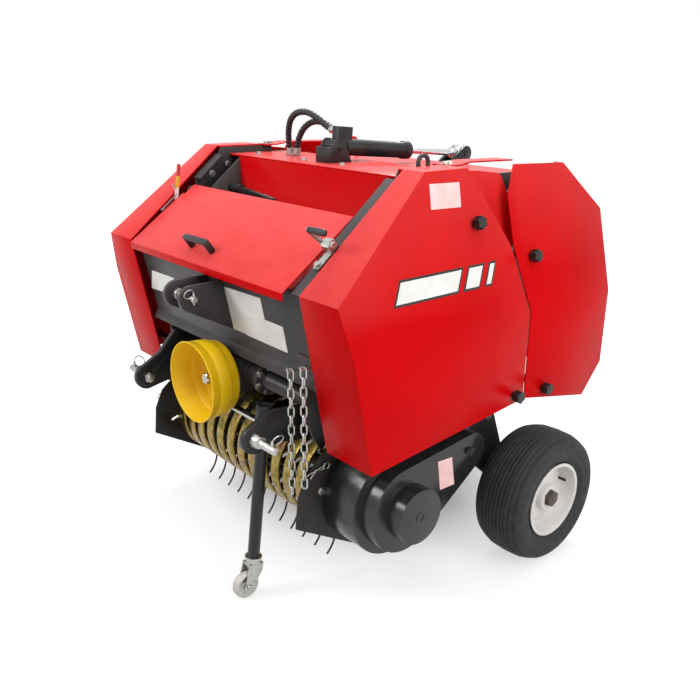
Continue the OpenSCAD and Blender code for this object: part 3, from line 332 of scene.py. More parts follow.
def charcoal_enamel(colours):
    """Satin chassis enamel, sprayed over welds: dark grey, slightly cloudy, fine peel."""
    c = colours.charcoal
    return surface("charcoal_enamel", between(shade(c, 0.82), shade(c, 1.2)), drift=90, grain=2.5,
                   relief=0.12, rough=(0.34, 0.48), Specular_IOR_Level=0.24)


def black_enamel(colours):
    """Satin black enamel on bars and tubes: soft broad highlights."""
    c = colours.black
    return surface("black_enamel", between(shade(c, 0.8), shade(c, 1.25)), drift=70, grain=2.0,
                   relief=0.12, rough=(0.3, 0.45), Specular_IOR_Level=0.3)


def gloss_enamel(colours):
    """Glossy black enamel on the pressed chain case: crisp highlights along its rims."""
    c = colours.black
    return surface("gloss_enamel", between(shade(c, 0.85), shade(c, 1.2)), drift=70, grain=2.0,
                   relief=0.1, rough=(0.2, 0.3), Specular_IOR_Level=0.45)


def umber_enamel(colours):
    """Brown-black satin enamel on plate, with the mottling of a thin coat on rolled steel."""
    c = colours.umber
    return surface("umber_enamel", between(shade(c, 0.75), shade(c, 1.3)), drift=45, grain=1.8,
                   relief=0.15, rough=(0.32, 0.5), detail=6.0, Specular_IOR_Level=0.28)


def bright_zinc(colours):
    """Electroplated zinc: cool grey metal, cloudy, with a faint yellow-violet cast."""
    stops = (0.25, linear("#8d8f92")), (0.5, linear("#b4b3ac")), (0.75, linear("#a9a3ad"))
    return surface("bright_zinc_plate", stops, drift=14, grain=0.9, relief=0.18, rough=(0.26, 0.46),
                   detail=5.0, Metallic=1.0)


def yellow_zinc(colours):
    """Yellow-passivated zinc: metal with olive, straw, rose and green clouds 25 mm across."""
    stops = ((0.22, linear("#454f2e")), (0.38, linear("#7a6a32")), (0.52, linear("#9a8748")),
             (0.66, linear("#80604e")), (0.8, linear("#606c3c")))
    return surface("yellow_zinc_passivate", stops, drift=26, grain=1.2, relief=0.12, rough=(0.24, 0.42),
                   detail=4.0, Metallic=1.0)


def hard_chrome(colours):
    """Ground and plated piston rod: near mirror with a faint grinding grain."""
    return surface("hard_chrome", between(linear("#c9ccd0"), linear("#dfe2e5")), drift=40, grain=0.6,
                   relief=0.03, rough=(0.07, 0.14), Metallic=1.0)


def yellow_polyethylene(colours):
    """Moulded polyethylene: waxy yellow with a fine mould texture and scuffs."""
    c = colours.guard
    return surface("yellow_polyethylene", between(shade(c, 0.9), shade(c, 1.05), 0.25, 0.75), drift=60,
                   grain=1.6, relief=0.16, rough=(0.4, 0.55), detail=5.0, Specular_IOR_Level=0.35,
                   Subsurface_Weight=0.05)


def black_plastic(colours):
    """Moulded black nylon: matt, with a fine spark texture."""
    return surface("black_nylon", between(linear("#151515"), linear("#212121")), drift=20, grain=1.0,
                   relief=0.2, rough=(0.38, 0.5), Specular_IOR_Level=0.4)


def pale_nylon(colours):
    """Cast nylon caster tread: off-white with grey scuffs."""
    stops = (0.25, linear("#a9a7a0")), (0.5, linear("#c9c7be")), (0.8, linear("#d8d6ce"))
    return surface("pale_nylon", stops, drift=12, grain=1.0, relief=0.15, rough=(0.4, 0.6), detail=5.0)


def hose_rubber(colours):
    """Extruded black guard on hydraulic hose: matt with a dull sheen."""
    return surface("hose_rubber", between(linear("#161617"), linear("#252526")), drift=15, grain=0.8,
                   relief=0.15, rough=(0.42, 0.56), Specular_IOR_Level=0.4)


def tyre_rubber(colours):
    """Cured carbon-black rubber: dull grey-black with a dusty bloom in 25 mm clouds."""
    c = colours.tyre
    stops = (0.28, shade(c, 0.75)), (0.55, c), (0.8, shade(c, 1.6))
    return surface("tyre_rubber", stops, drift=25, grain=1.2, relief=0.25, rough=(0.62, 0.8), detail=6.0,
                   Specular_IOR_Level=0.35)


def white_enamel(colours):
    """Sprayed white enamel on pressed rims: slightly warm, with faint grey clouds."""
    c = colours.rim
    return surface("white_enamel", between(shade(c, 0.88), c, 0.25), drift=50, grain=2.5, relief=0.1,
                   rough=(0.3, 0.42), detail=5.0)


def spring_wire(colours):
    """Oil-blackened spring wire: dark metal with a soft glint."""
    return surface("oil_black_spring_wire", between(linear("#1d1b1a"), linear("#322f2c")), drift=18,
                   grain=0.7, relief=0.12, rough=(0.3, 0.45), Metallic=0.5)


def dark_hub(colours):
    """Cast iron hub cap under thin paint: umber with a rough skin."""
    return surface("cast_iron_hub", between(linear("#3a2c27"), linear("#57453d")), drift=20, grain=2.2,
                   relief=0.4, rough=(0.45, 0.65), detail=6.0, Specular_IOR_Level=0.4)


def white_vinyl(colours):
    """Blank vinyl sticker: flat white, barely glossy."""
    return surface("white_vinyl", between(linear("#dedcd8"), linear("#ecebe8")), drift=40, grain=1.0,
                   relief=0.04, rough=(0.35, 0.45))


def black_vinyl(colours):
    """Black cut vinyl under the stripe's bars: flat, with a thin sheen."""
    return surface("black_vinyl", between(linear("#141414"), linear("#1c1c1c")), drift=40, grain=1.0,
                   relief=0.04, rough=(0.3, 0.4))


def rose_vinyl(colours):
    """Blank vinyl sticker in pale rose, barely glossy."""
    return surface("rose_vinyl", between(linear("#f0c0bd"), linear("#f7d3d0")), drift=30, grain=1.0,
                   relief=0.04, rough=(0.35, 0.45))


def banded_enamel(colours):
    """Bale-size stick: charcoal, white, yellow and red enamel bands, 36 mm each, up its height."""
    material, tree, where, shader = blank_material("banded_stick_enamel")
    height = put(tree, "ShaderNodeSeparateXYZ", {}, {"Vector": where}).outputs["Z"]
    along = put(tree, "ShaderNodeMapRange", {}, {
        "Value": height, "From Min": 0.968, "From Max": 1.114, "To Min": 0.0, "To Max": 1.0})
    bands = put(tree, "ShaderNodeValToRGB", {"stops": (
        (0.0, linear("#3a3738")), (0.25, linear("#d9d4cc")), (0.5, linear("#d8a921")),
        (0.75, linear("#b9181a")))}, {"Fac": along.outputs[0]})
    bands.color_ramp.interpolation = "CONSTANT"
    tree.links.new(bands.outputs["Color"], shader.inputs["Base Color"])
    chips = put(tree, "ShaderNodeTexNoise", {}, {"Vector": where, "Scale": 1000 / 6, "Detail": 4.0})
    gloss = put(tree, "ShaderNodeMapRange", {}, {
        "Value": chips.outputs["Fac"], "To Min": 0.3, "To Max": 0.5})
    tree.links.new(gloss.outputs["Result"], shader.inputs["Roughness"])
    return material


MAKERS = {maker.__name__: maker for maker in (
    red_enamel, charcoal_enamel, black_enamel, gloss_enamel, umber_enamel, bright_zinc, yellow_zinc,
    hard_chrome, yellow_polyethylene, black_plastic, pale_nylon, hose_rubber, tyre_rubber, white_enamel,
    spring_wire, dark_hub, white_vinyl, black_vinyl, rose_vinyl, banded_enamel)}
made_finishes = {}


def finish(name):
    """The material of that name, made at its first use."""
    if name not in made_finishes:
        made_finishes[name] = MAKERS[name](bpy.context.scene.baler_colours)
    return made_finishes[name]


def smoothed(mesh, angle):
    """Shades a mesh smooth up to an angle between faces."""
    mesh.polygons.foreach_set("use_smooth", [True] * len(mesh.polygons))
    mesh.set_sharp_from_angle(angle=angle)


def stand(mesh, name, angle=40):
    """Puts a mesh into the scene as a piece, smooth up to the given angle in degrees."""
    smoothed(mesh, math.radians(angle))
    piece = bpy.data.objects.new(name, mesh)
    bpy.context.scene.collection.objects.link(piece)
    return piece


def applied(piece):
    """Turns a piece with modifiers into a plain mesh."""
    graph = bpy.context.evaluated_depsgraph_get()
    mesh = bpy.data.meshes.new_from_object(piece.evaluated_get(graph))
    piece.modifiers.clear()
    piece.data = mesh
    return piece


def settled(piece, body, slot, *nodes):
    """Gives a finished piece its body and hides the nodes that it stands for; slot is not used."""
    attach(piece, body)
    if nodes:
        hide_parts(*nodes)
    return piece


def body_of(node):
    """The body that carries a CAD node."""
    return frame["nodes"][node]["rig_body"]


def softened(node, finishes, radius, pick=None, segments=2, cuts=()):
    """A CAD node with cuts taken out and edges rounded; pick gives a face's finish from its middle, in mm."""
    shell = bmesh.new()
    shell.from_mesh(frame["nodes"][node].data)
    bmesh.ops.remove_doubles(shell, verts=shell.verts, dist=MERGE)
    bmesh.ops.dissolve_limit(shell, angle_limit=FLAT, verts=shell.verts, edges=shell.edges,
                             delimit={"NORMAL"})
    clean = bmesh.new()
    twins = {v: clean.verts.new(v.co) for v in shell.verts}
    for face in shell.faces:
        try:
            clean.faces.new([twins[v] for v in face.verts])
        except ValueError:
            continue
    mesh = bpy.data.meshes.new(node + "_dressed")
    clean.to_mesh(mesh)
    shell.free()
    clean.free()
    for name in finishes:
        mesh.materials.append(finish(name))
    piece = stand(mesh, node + "_dressed")
    for cut in cuts:
        cutter = piece_from(node + "_cut", [cut], finishes)
        taken = piece.modifiers.new("cut", "BOOLEAN")
        taken.operation, taken.object = "DIFFERENCE", cutter
        applied(piece)
        bpy.data.objects.remove(cutter)
    bevel = piece.modifiers.new("rounding", "BEVEL")
    bevel.width = radius
    bevel.segments = segments
    bevel.limit_method = "ANGLE"
    bevel.angle_limit = ROUNDED
    bevel.use_clamp_overlap = True
    applied(piece)
    smoothed(piece.data, SHARP)
    if pick:
        for face in piece.data.polygons:
            middle = face.center * 1000
            face.material_index = pick(middle.x, middle.y - COVERS_MIDDLE, middle.z)
    return settled(piece, body_of(node), NODE_SLOT[node], node)


def skin(count, rings, closed=False):
    """Faces between rings of count points each, and between the last and the first ring if closed."""
    faces = []
    for i in range(rings if closed else rings - 1):
        j = (i + 1) % rings
        for k in range(count):
            m = (k + 1) % count
            faces.append((i * count + k, i * count + m, j * count + m, j * count + k))
    return faces


def caps(count, rings):
    """The faces that shut the first and the last ring of a skin."""
    return [tuple(range(count - 1, -1, -1)), tuple(range((rings - 1) * count, rings * count))]


def turned(profile, steps, place):
    """Mesh data of a closed profile of (radius, along) turned about an axis; place maps the local point."""
    verts = []
    for i in range(steps):
        a = 2 * math.pi * i / steps
        verts += [place(Vector((r * math.cos(a), r * math.sin(a), h))) for r, h in profile]
    return verts, skin(len(profile), steps, closed=True)


def along_x(x0, p):
    """Places a turned shape on an axis along X through the (y, z) point p, starting at x0."""
    return lambda v: spot(x0 + v.z, p[0] + v.x, p[1] + v.y)


def piece_from(name, parts, finishes, picks=None, angle=40):
    """One piece from several (verts, faces) parts; picks gives each part's finish."""
    verts, faces, indices = [], [], []
    for number, (more_verts, more_faces) in enumerate(parts):
        base = len(verts)
        verts += [tuple(v) for v in more_verts]
        faces += [tuple(base + i for i in face) for face in more_faces]
        indices += [picks[number] if picks else 0] * len(more_faces)
    mesh = bpy.data.meshes.new(name)
    mesh.from_pydata(verts, [], faces)
    shell = bmesh.new()
    shell.from_mesh(mesh)
    bmesh.ops.recalc_face_normals(shell, faces=shell.faces)
    shell.to_mesh(mesh)
    shell.free()
    for name_of in finishes:
        mesh.materials.append(finish(name_of))
    mesh.polygons.foreach_set("material_index", indices)
    return stand(mesh, name, angle)


def rod_x(x0, x1, r, p, steps=32, chamfer=1.5):
    """A round bar along X with chamfered ends."""
    length = x1 - x0
    profile = ((0.01, 0), (r - chamfer, 0), (r, chamfer), (r, length - chamfer), (r - chamfer, length),
               (0.01, length))
    return turned(profile, steps, along_x(x0, p))


def rod_z(x, y, z0, z1, r, steps=16):
    """A short upright pin with rounded ends."""
    length = z1 - z0
    profile = ((0.01, 0), (r * 0.7, 0.2 * r), (r, r), (r, length - r), (r * 0.7, length - 0.2 * r),
               (0.01, length))
    return turned(profile, steps, lambda v: spot(x + v.x, y + v.y, z0 + v.z))


def slab(corners, drop, lift):
    """A thin plate on a flat outline of points in mm, from drop below to lift above it, along its normal."""
    points = [spot(*c) for c in corners]
    normal = (points[1] - points[0]).cross(points[2] - points[0]).normalized()
    low = [p - normal * drop / 1000 for p in points]
    high = [p + normal * lift / 1000 for p in points]
    count = len(points)
    faces = [tuple(range(count - 1, -1, -1)), tuple(range(count, 2 * count))]
    faces += [(i, (i + 1) % count, count + (i + 1) % count, count + i) for i in range(count)]
    return low + high, faces


def tube_along(path, radius, steps, cap=True):
    """A tube of (ring, angle) radius along a path in metres, carried without twist."""
    verts, tangents = [], []
    for i in range(len(path)):
        ahead = path[min(i + 1, len(path) - 1)] - path[max(i - 1, 0)]
        tangents.append(ahead.normalized())
    side = tangents[0].orthogonal().normalized()
    for i, (point, tangent) in enumerate(zip(path, tangents)):
        side = (side - tangent * side.dot(tangent)).normalized()
        other = tangent.cross(side)
        for k in range(steps):
            a = 2 * math.pi * k / steps
            reach = radius(i, a)
            verts.append(point + side * (reach * math.cos(a)) + other * (reach * math.sin(a)))
    return verts, skin(steps, len(path)) + (caps(steps, len(path)) if cap else [])


def wire_along(points, r, sides):
    """A round wire along points in mm."""
    return tube_along([spot(*p) for p in points], lambda i, a: r / 1000, sides)


def smooth_path(points, step):
    """A curve through the points, sampled about every step, in the units of the points."""
    knots = [Vector(p) for p in points]
    knots = [2 * knots[0] - knots[1], *knots, 2 * knots[-1] - knots[-2]]
    path = []
    for a, b, c, d in zip(knots, knots[1:], knots[2:], knots[3:]):
        count = max(1, round((c - b).length / step))
        for i in range(count):
            t = i / count
            path.append(0.5 * (2 * b + (c - a) * t + (2 * a - 5 * b + 4 * c - d) * t * t
                               + (3 * b - a - 3 * c + d) * t * t * t))
    path.append(knots[-2])
    return path


def wire_ring(middle, across, radius, wire, steps=36, sides=8):
    """A ring of round wire about a point in mm, in the plane of the two directions across."""
    u, v = (Vector(d).normalized() for d in across)
    path = [spot(*middle) + (u * math.cos(a) + v * math.sin(a)) * radius / 1000
            for a in (2 * math.pi * i / steps for i in range(steps + 1))]
    return tube_along(path, lambda i, a: wire / 1000, sides, cap=False)


def on_panel(x, z):
    """The point of the front panel's face at x and z."""
    share = (z - PANEL_LOW[1]) / (PANEL_HIGH[1] - PANEL_LOW[1])
    return x, PANEL_LOW[0] + share * (PANEL_HIGH[0] - PANEL_LOW[0]), z


def tree_named(name, inputs):
    """A Geometry Nodes tree with a geometry input, the named inputs and a geometry output."""
    tree = bpy.data.node_groups.new(name, "GeometryNodeTree")
    tree.interface.new_socket("Geometry", in_out="INPUT", socket_type="NodeSocketGeometry")
    for label, kind in inputs.items():
        tree.interface.new_socket(label, in_out="INPUT", socket_type=kind)
    tree.interface.new_socket("Geometry", in_out="OUTPUT", socket_type="NodeSocketGeometry")
    return tree, put(tree, "NodeGroupInput").outputs


def close_tree(tree, geometry, material):
    """Ends a tree in realized instances with a material."""
    real = put(tree, "GeometryNodeRealizeInstances", {}, {"Geometry": geometry})
    dressed = put(tree, "GeometryNodeSetMaterial", {}, {"Geometry": real.outputs[0], "Material": material})
    put(tree, "NodeGroupOutput", {}, {"Geometry": dressed.outputs[0]})


def grown(name, mesh, tree, values, angle=40):
    """Runs a tree over a mesh with its named values and keeps the plain result as a piece."""
    piece = bpy.data.objects.new(name, mesh)
    bpy.context.scene.collection.objects.link(piece)
    growth = piece.modifiers.new("growth", "NODES")
    growth.node_group = tree
    for item in tree.interface.items_tree:
        if item.in_out == "INPUT" and item.name in values:
            growth[item.identifier] = values[item.name]
    applied(piece)
    if not piece.data.polygons:
        raise RuntimeError(f"{name} came out empty")
    piece.data.name = name
    smoothed(piece.data, math.radians(angle))
    return piece


def points_mesh(name, rows, attribute):
    """A mesh of loose points; rows are (point, vector) and the vectors go into the attribute."""
    mesh = bpy.data.meshes.new(name)
    mesh.from_pydata([tuple(p) for p, _ in rows], [], [])
    layer = mesh.attributes.new(attribute, "FLOAT_VECTOR", "POINT")
    layer.data.foreach_set("vector", [c for _, v in rows for c in v])
    return mesh


class BALER_OT_stage(bpy.types.Operator):
    """Floor, lamps, white surround and the photograph's camera"""

    bl_idname = "baler.stage"
    bl_label = "Stage"

    def execute(self, context):
        scene = context.scene
        scene.view_settings.view_transform = "Standard"
        camera = bpy.data.cameras.new("portrait")
        camera.sensor_width, camera.lens = CAMERA_SENSOR, CAMERA_LENS
        camera.clip_end = 60
        stand_at = bpy.data.objects.new("portrait", camera)
        axes = Matrix((CAMERA_RIGHT, CAMERA_UP, CAMERA_BACK)).transposed().to_4x4()
        stand_at.matrix_world = Matrix.Translation(CAMERA_PLACE) @ axes
        scene.collection.objects.link(stand_at)
        scene.camera = stand_at
        for lamp in LAMPS:
            self.lamp(scene, *lamp)
        self.surround(scene)
        self.floor(scene)
        return {"FINISHED"}

    def lamp(self, scene, name, place, aim, size, watts):
        """A square softbox aimed at a point."""
        data = bpy.data.lights.new(name, "AREA")
        data.size, data.energy = size, watts
        lamp = bpy.data.objects.new(name, data)
        lamp.location = place
        lamp.rotation_euler = (Vector(aim) - Vector(place)).to_track_quat("-Z", "Y").to_euler()
        scene.collection.objects.link(lamp)

    def seen(self, tree):
        """1 for rays that show the background itself: camera, glossy and transmission rays."""
        path = put(tree, "ShaderNodeLightPath").outputs
        both = put(tree, "ShaderNodeMath", {"operation": "MAXIMUM"}, {
            0: path["Is Camera Ray"], 1: path["Is Glossy Ray"]})
        return put(tree, "ShaderNodeMath", {"operation": "MAXIMUM"}, {
            0: both.outputs[0], 1: path["Is Transmission Ray"]}).outputs[0]

    def surround(self, scene):
        """White where it is seen, a soft dome of light elsewhere."""
        world = bpy.data.worlds.new("white_surround")
        world.use_nodes = True
        tree = world.node_tree
        tree.nodes.clear()
        strength = put(tree, "ShaderNodeMapRange", {}, {
            "Value": self.seen(tree), "To Min": 0.42, "To Max": 1.0})
        dome = put(tree, "ShaderNodeBackground", {}, {"Color": (1, 1, 1, 1), "Strength": strength.outputs[0]})
        put(tree, "ShaderNodeOutputWorld", {}, {"Surface": dome.outputs[0]})
        scene.world = world

    def floor(self, scene):
        """Pale floor: white far from the lamps too, with the shadow kept, and a painted shadow below the
        chamber.
        """
        mesh = bpy.data.meshes.new("studio_floor")
        mesh.from_pydata([(FLOOR_HALF * x, FLOOR_HALF * y, -FLOOR_DEPTH)
                          for x, y in ((-1, -1), (1, -1), (1, 1), (-1, 1))], [], [(0, 1, 2, 3)])
        material = bpy.data.materials.new("pale_studio_floor")
        material.use_nodes = True
        tree = material.node_tree
        tree.nodes.clear()
        matt = put(tree, "ShaderNodeBsdfDiffuse", {}, {"Color": (0.5, 0.5, 0.5, 1)})
        where = put(tree, "ShaderNodeTexCoord").outputs["Object"]
        reach = put(tree, "ShaderNodeVectorMath", {"operation": "LENGTH"}, {0: where})
        level = put(tree, "ShaderNodeMapRange", {}, {
            "Value": reach.outputs["Value"], "From Min": 1.4, "From Max": 3.2, "To Min": 0.6, "To Max": 0.95})
        # Painted shadow: the floor's glow falls to 0.12 of its level near a point below the bale chamber,
        # fading out by 0.68 m
        apart = put(tree, "ShaderNodeVectorMath", {"operation": "DISTANCE"}, {0: where, 1: PAINTED_SHADOW_MIDDLE})
        below = put(tree, "ShaderNodeMapRange", {"interpolation_type": "SMOOTHSTEP"}, {
            "Value": apart.outputs["Value"], "From Min": 0.25, "From Max": 0.68,
            "To Min": 0.12, "To Max": 1.0})
        dim = put(tree, "ShaderNodeMath", {"operation": "MULTIPLY"}, {
            0: level.outputs[0], 1: below.outputs[0]})
        lift = put(tree, "ShaderNodeMath", {"operation": "MULTIPLY"}, {
            0: self.seen(tree), 1: dim.outputs[0]})
        glow = put(tree, "ShaderNodeEmission", {}, {"Strength": lift.outputs[0]})
        both = put(tree, "ShaderNodeAddShader", {}, {0: matt.outputs[0], 1: glow.outputs[0]})
        put(tree, "ShaderNodeOutputMaterial", {}, {"Surface": both.outputs[0]})
        mesh.materials.append(material)
        floor = bpy.data.objects.new("studio_floor", mesh)
        scene.collection.objects.link(floor)


class BALER_OT_red_sheet(bpy.types.Operator):
    """Covers, lid, twine box and top plates in red enamel with rounded folds"""

    bl_idname = "baler.red_sheet"
    bl_label = "Red sheet work"

    def execute(self, context):
        sizes = context.scene.baler_sizes
        for node in ("front_cover_right", "front_cover_left", "tailgate_cover_right", "tailgate_cover_left"):
            softened(node, ["red_enamel"], sizes.fold)
        for node in ("lid", "top_plate", "hinge_flaps", "twine_box", "tailgate_top"):
            softened(node, ["red_enamel"], sizes.edge)
        return {"FINISHED"}


class BALER_OT_chassis(bpy.types.Operator):
    """Walls, rollers, panel, gearbox and tailgate frame in charcoal enamel, bars and tubes in black"""

    bl_idname = "baler.chassis"
    bl_label = "Chassis"

    def execute(self, context):
        edge = context.scene.baler_sizes.edge
        for node in ("side_walls", "chamber_rollers", "front_panel", "shoulder_frame", "gearbox",
                     "drive_tube", "top_link_ears", "feed_floor", "lifting_eye", "tailgate_frame",
                     "tailgate_rollers"):
            softened(node, ["charcoal_enamel"], edge)
        for node in ("cover_posts", "lower_arms", "pickup_tube", "axle_beam", "wheel_arms", "twine_gear"):
            softened(node, ["black_enamel"], edge)
        softened("hitch_beam", ["black_enamel", "bright_zinc"], edge,
                 pick=lambda x, y, z: int(z < FLAT_BAR_TOP))
        for node in ("lower_pins", "top_link_pin"):
            softened(node, ["bright_zinc"], edge)
        return {"FINISHED"}


class BALER_OT_pickup(bpy.types.Operator):
    """Side plates, stripper bands, reel core and spring tines"""

    bl_idname = "baler.pickup"
    bl_label = "Pickup"

    def execute(self, context):
        sizes = context.scene.baler_sizes
        softened("pickup_plates", ["umber_enamel"], sizes.edge,
                 cuts=[self.slot(*ends) for ends in PLATE_SLOTS])
        self.bands()
        self.core()
        self.tines(sizes.tine_wire)
        return {"FINISHED"}

    def slot(self, a, b, r):
        """Cutter for a round-ended slot through the left plate."""
        turn = math.atan2(b[1] - a[1], b[0] - a[0])
        outline, plate_half, steps, depth = [], 3, 8, 8
        for (y, z), start in ((b, turn - math.pi / 2), (a, turn + math.pi / 2)):
            for i in range(steps + 1):
                t = start + math.pi * i / steps
                outline.append((-PICKUP_X - plate_half, y + r * math.cos(t), z + r * math.sin(t)))
        return slab(outline, depth, depth)

    def band_line(self):
        """Side view of a stripper band as (y, z, outward y, outward z)."""
        tail_y = REEL[0] + math.sqrt(TAIL_REACH ** 2 - (BAND_R - TAIL_BAR) ** 2)
        top, flat, steps = REEL[1] + BAND_R, 40, 30
        line = [(tail_y + TAIL_BAR / 2, top, 0, 1), (REEL[0] + flat, top, 0, 1)]
        for i in range(steps + 1):
            a = math.radians(90 + (BAND_LOW_ANGLE - 90) * i / steps)
            out = (math.cos(a), math.sin(a))
            line.append((REEL[0] + BAND_R * out[0], REEL[1] + BAND_R * out[1], *out))
        run = (Vector(BAND_FOOT) - Vector(line[-1][:2])).normalized()
        line.append((*BAND_FOOT, run.y, -run.x))
        return line

    def band(self, x0, width):
        """One band: crowned sheet with its long edges rolled inwards."""
        half = width / 2
        section = ((-half, -8), (-half, -3), (-half + 1.5, -1), (-half + 5, -0.3), (0, 0),
                   (half - 5, -0.3), (half - 1.5, -1), (half, -3), (half, -8),
                   (half - 2.2, -8), (half - 2.2, -4), (half - 5, -2.8), (0, -2.6), (-half + 5, -2.8),
                   (-half + 2.2, -4), (-half + 2.2, -8))
        line = self.band_line()
        verts = [spot(x0 + half + sx, y + oy * lift, z + oz * lift)
                 for y, z, oy, oz in line for sx, lift in section]
        return verts, skin(len(section), len(line)) + caps(len(section), len(line))

    def bands(self):
        """Bands between the tines, a wider one at each end, and the two bars behind them."""
        row_half = (TINES_IN_ROW - 1) / 2 * TINE_PITCH
        width = TINE_PITCH - SLOT_W
        end_w = PICKUP_X - row_half - SLOT_W / 2
        parts = [self.band(-row_half + SLOT_W / 2 + i * TINE_PITCH, width) for i in range(TINES_IN_ROW - 1)]
        parts += [self.band(row_half + SLOT_W / 2, end_w - 0.5), self.band(-PICKUP_X + 0.5, end_w - 0.5)]
        tail_y = self.band_line()[0][0] - TAIL_BAR / 2
        for y, z in ((tail_y, REEL[1] + BAND_R - TAIL_BAR), (BAND_FOOT[0] - 4, BAND_FOOT[1] - TAIL_BAR / 2)):
            parts.append(slab([(-PICKUP_X, y, z), (PICKUP_X, y, z), (PICKUP_X, y + TAIL_BAR, z),
                               (-PICKUP_X, y + TAIL_BAR, z)], 0, 9))
        piece = piece_from("stripper_bands", parts, ["yellow_zinc"])
        settled(piece, "chassis", NODE_SLOT["pickup_bands"], "pickup_bands")

    def core(self):
        """Shaft, end discs with their bosses, and the tine bars."""
        boss_r, boss_t = 34, 14
        disc = ((REEL_SHAFT_R, 0), (DISC_R - 1, 0), (DISC_R, 1), (DISC_R, DISC_T - 1), (DISC_R - 1, DISC_T),
                (REEL_SHAFT_R, DISC_T))
        boss = (REEL_SHAFT_R, 0), (boss_r, 0), (boss_r - 4, boss_t), (REEL_SHAFT_R, boss_t)
        parts = [rod_x(-REEL_END, REEL_END, REEL_SHAFT_R, REEL)]
        for disc_x, boss_x in ((-DISC_IN - DISC_T, -DISC_IN), (DISC_IN, DISC_IN - boss_t)):
            parts.append(turned(disc, 56, along_x(disc_x, REEL)))
            parts.append(turned(boss, 32, along_x(boss_x, REEL)))
        for row in range(TINE_ROWS):
            a = math.radians(ROW_TURN + row * 360 / TINE_ROWS)
            place = (REEL[0] - TINE_ROOT * math.cos(a), REEL[1] - TINE_ROOT * math.sin(a))
            parts.append(rod_x(-DISC_IN - 1, DISC_IN + 1, TINE_BAR_R, place, 24))
        piece = piece_from("reel_core", parts, ["black_enamel"])
        settled(piece, "reel", NODE_SLOT["pickup_reel"], "pickup_reel")

    def tine_line(self):
        """Centre line of one tine about the reel's axis: coil on its bar, straight leg, hooked tip."""
        coil_r, turns, lead, in_turn, in_tip, hook = TINE_BAR_R + 3.4, 2.25, 7.5, 18, 6, 0.0064
        line = []
        for i in range(int(turns * in_turn) + 1):
            a = 2 * math.pi * i / in_turn + math.pi
            line.append((-lead * turns + lead * i / in_turn, -TINE_ROOT - coil_r * math.sin(a),
                         coil_r * math.cos(a)))
        start = line[-1][2]
        leg = [(0, -130, start * 0.55), (0, -160, start * 0.15), (0, -TINE_BEND, 0)]
        for i in range(1, in_tip + 1):
            reach = (TINE_TIP - TINE_BEND) * i / in_tip
            leg.append((0, -TINE_BEND - reach, hook * reach * reach))
        mesh = bpy.data.meshes.new("tine_line")
        points = [Vector(p) / 1000 for p in line + leg]
        mesh.from_pydata(points, [(i, i + 1) for i in range(len(points) - 1)], [])
        return mesh

    def tines(self, wire):
        """Two rows of tines along the reel, each tine a wire along its centre line."""
        tree, given = tree_named("spring_tines", {
            "Wire radius": "NodeSocketFloat", "Pitch": "NodeSocketFloat", "Tines in a row": "NodeSocketInt",
            "Rows": "NodeSocketInt", "Row turn": "NodeSocketFloat"})
        line = put(tree, "GeometryNodeMeshToCurve", {}, {"Mesh": given["Geometry"]})
        section = put(tree, "GeometryNodeCurvePrimitiveCircle", {}, {
            "Resolution": 8, "Radius": given["Wire radius"]})
        tine = put(tree, "GeometryNodeCurveToMesh", {}, {
            "Curve": line.outputs[0], "Profile Curve": section.outputs[0], "Fill Caps": True})
        step = put(tree, "ShaderNodeCombineXYZ", {}, {"X": given["Pitch"]})
        gaps = put(tree, "ShaderNodeMath", {"operation": "SUBTRACT"}, {0: given["Tines in a row"], 1: 1.0})
        back = put(tree, "ShaderNodeMath", {"operation": "MULTIPLY"}, {0: gaps.outputs[0], 1: -0.5})
        first = put(tree, "ShaderNodeVectorMath", {"operation": "SCALE"}, {
            0: step.outputs[0], "Scale": back.outputs[0]})
        seats = put(tree, "GeometryNodeMeshLine", {}, {
            "Count": given["Tines in a row"], "Start Location": first.outputs[0], "Offset": step.outputs[0]})
        row = put(tree, "GeometryNodeInstanceOnPoints", {}, {
            "Points": seats.outputs[0], "Instance": tine.outputs[0]})
        hubs = put(tree, "GeometryNodeMeshLine", {}, {"Count": given["Rows"], "Offset": (0, 0, 0)})
        share = put(tree, "ShaderNodeMath", {"operation": "DIVIDE"}, {0: 2 * math.pi, 1: given["Rows"]})
        number = put(tree, "GeometryNodeInputIndex")
        turn = put(tree, "ShaderNodeMath", {"operation": "MULTIPLY_ADD"}, {
            0: number.outputs[0], 1: share.outputs[0], 2: given["Row turn"]})
        about_x = put(tree, "ShaderNodeCombineXYZ", {}, {"X": turn.outputs[0]})
        spin = put(tree, "FunctionNodeEulerToRotation", {}, {"Euler": about_x.outputs[0]})
        rows = put(tree, "GeometryNodeInstanceOnPoints", {}, {
            "Points": hubs.outputs[0], "Instance": row.outputs[0], "Rotation": spin.outputs[0]})
        seat = put(tree, "GeometryNodeTransform", {}, {
            "Geometry": rows.outputs[0], "Translation": spot(0, *REEL)})
        close_tree(tree, seat.outputs[0], finish("spring_wire"))
        piece = grown("spring_tines", self.tine_line(), tree, {
            "Wire radius": wire, "Pitch": TINE_PITCH / 1000, "Tines in a row": TINES_IN_ROW,
            "Rows": TINE_ROWS, "Row turn": math.radians(ROW_TURN)})
        settled(piece, "reel", NODE_SLOT["pickup_reel"])


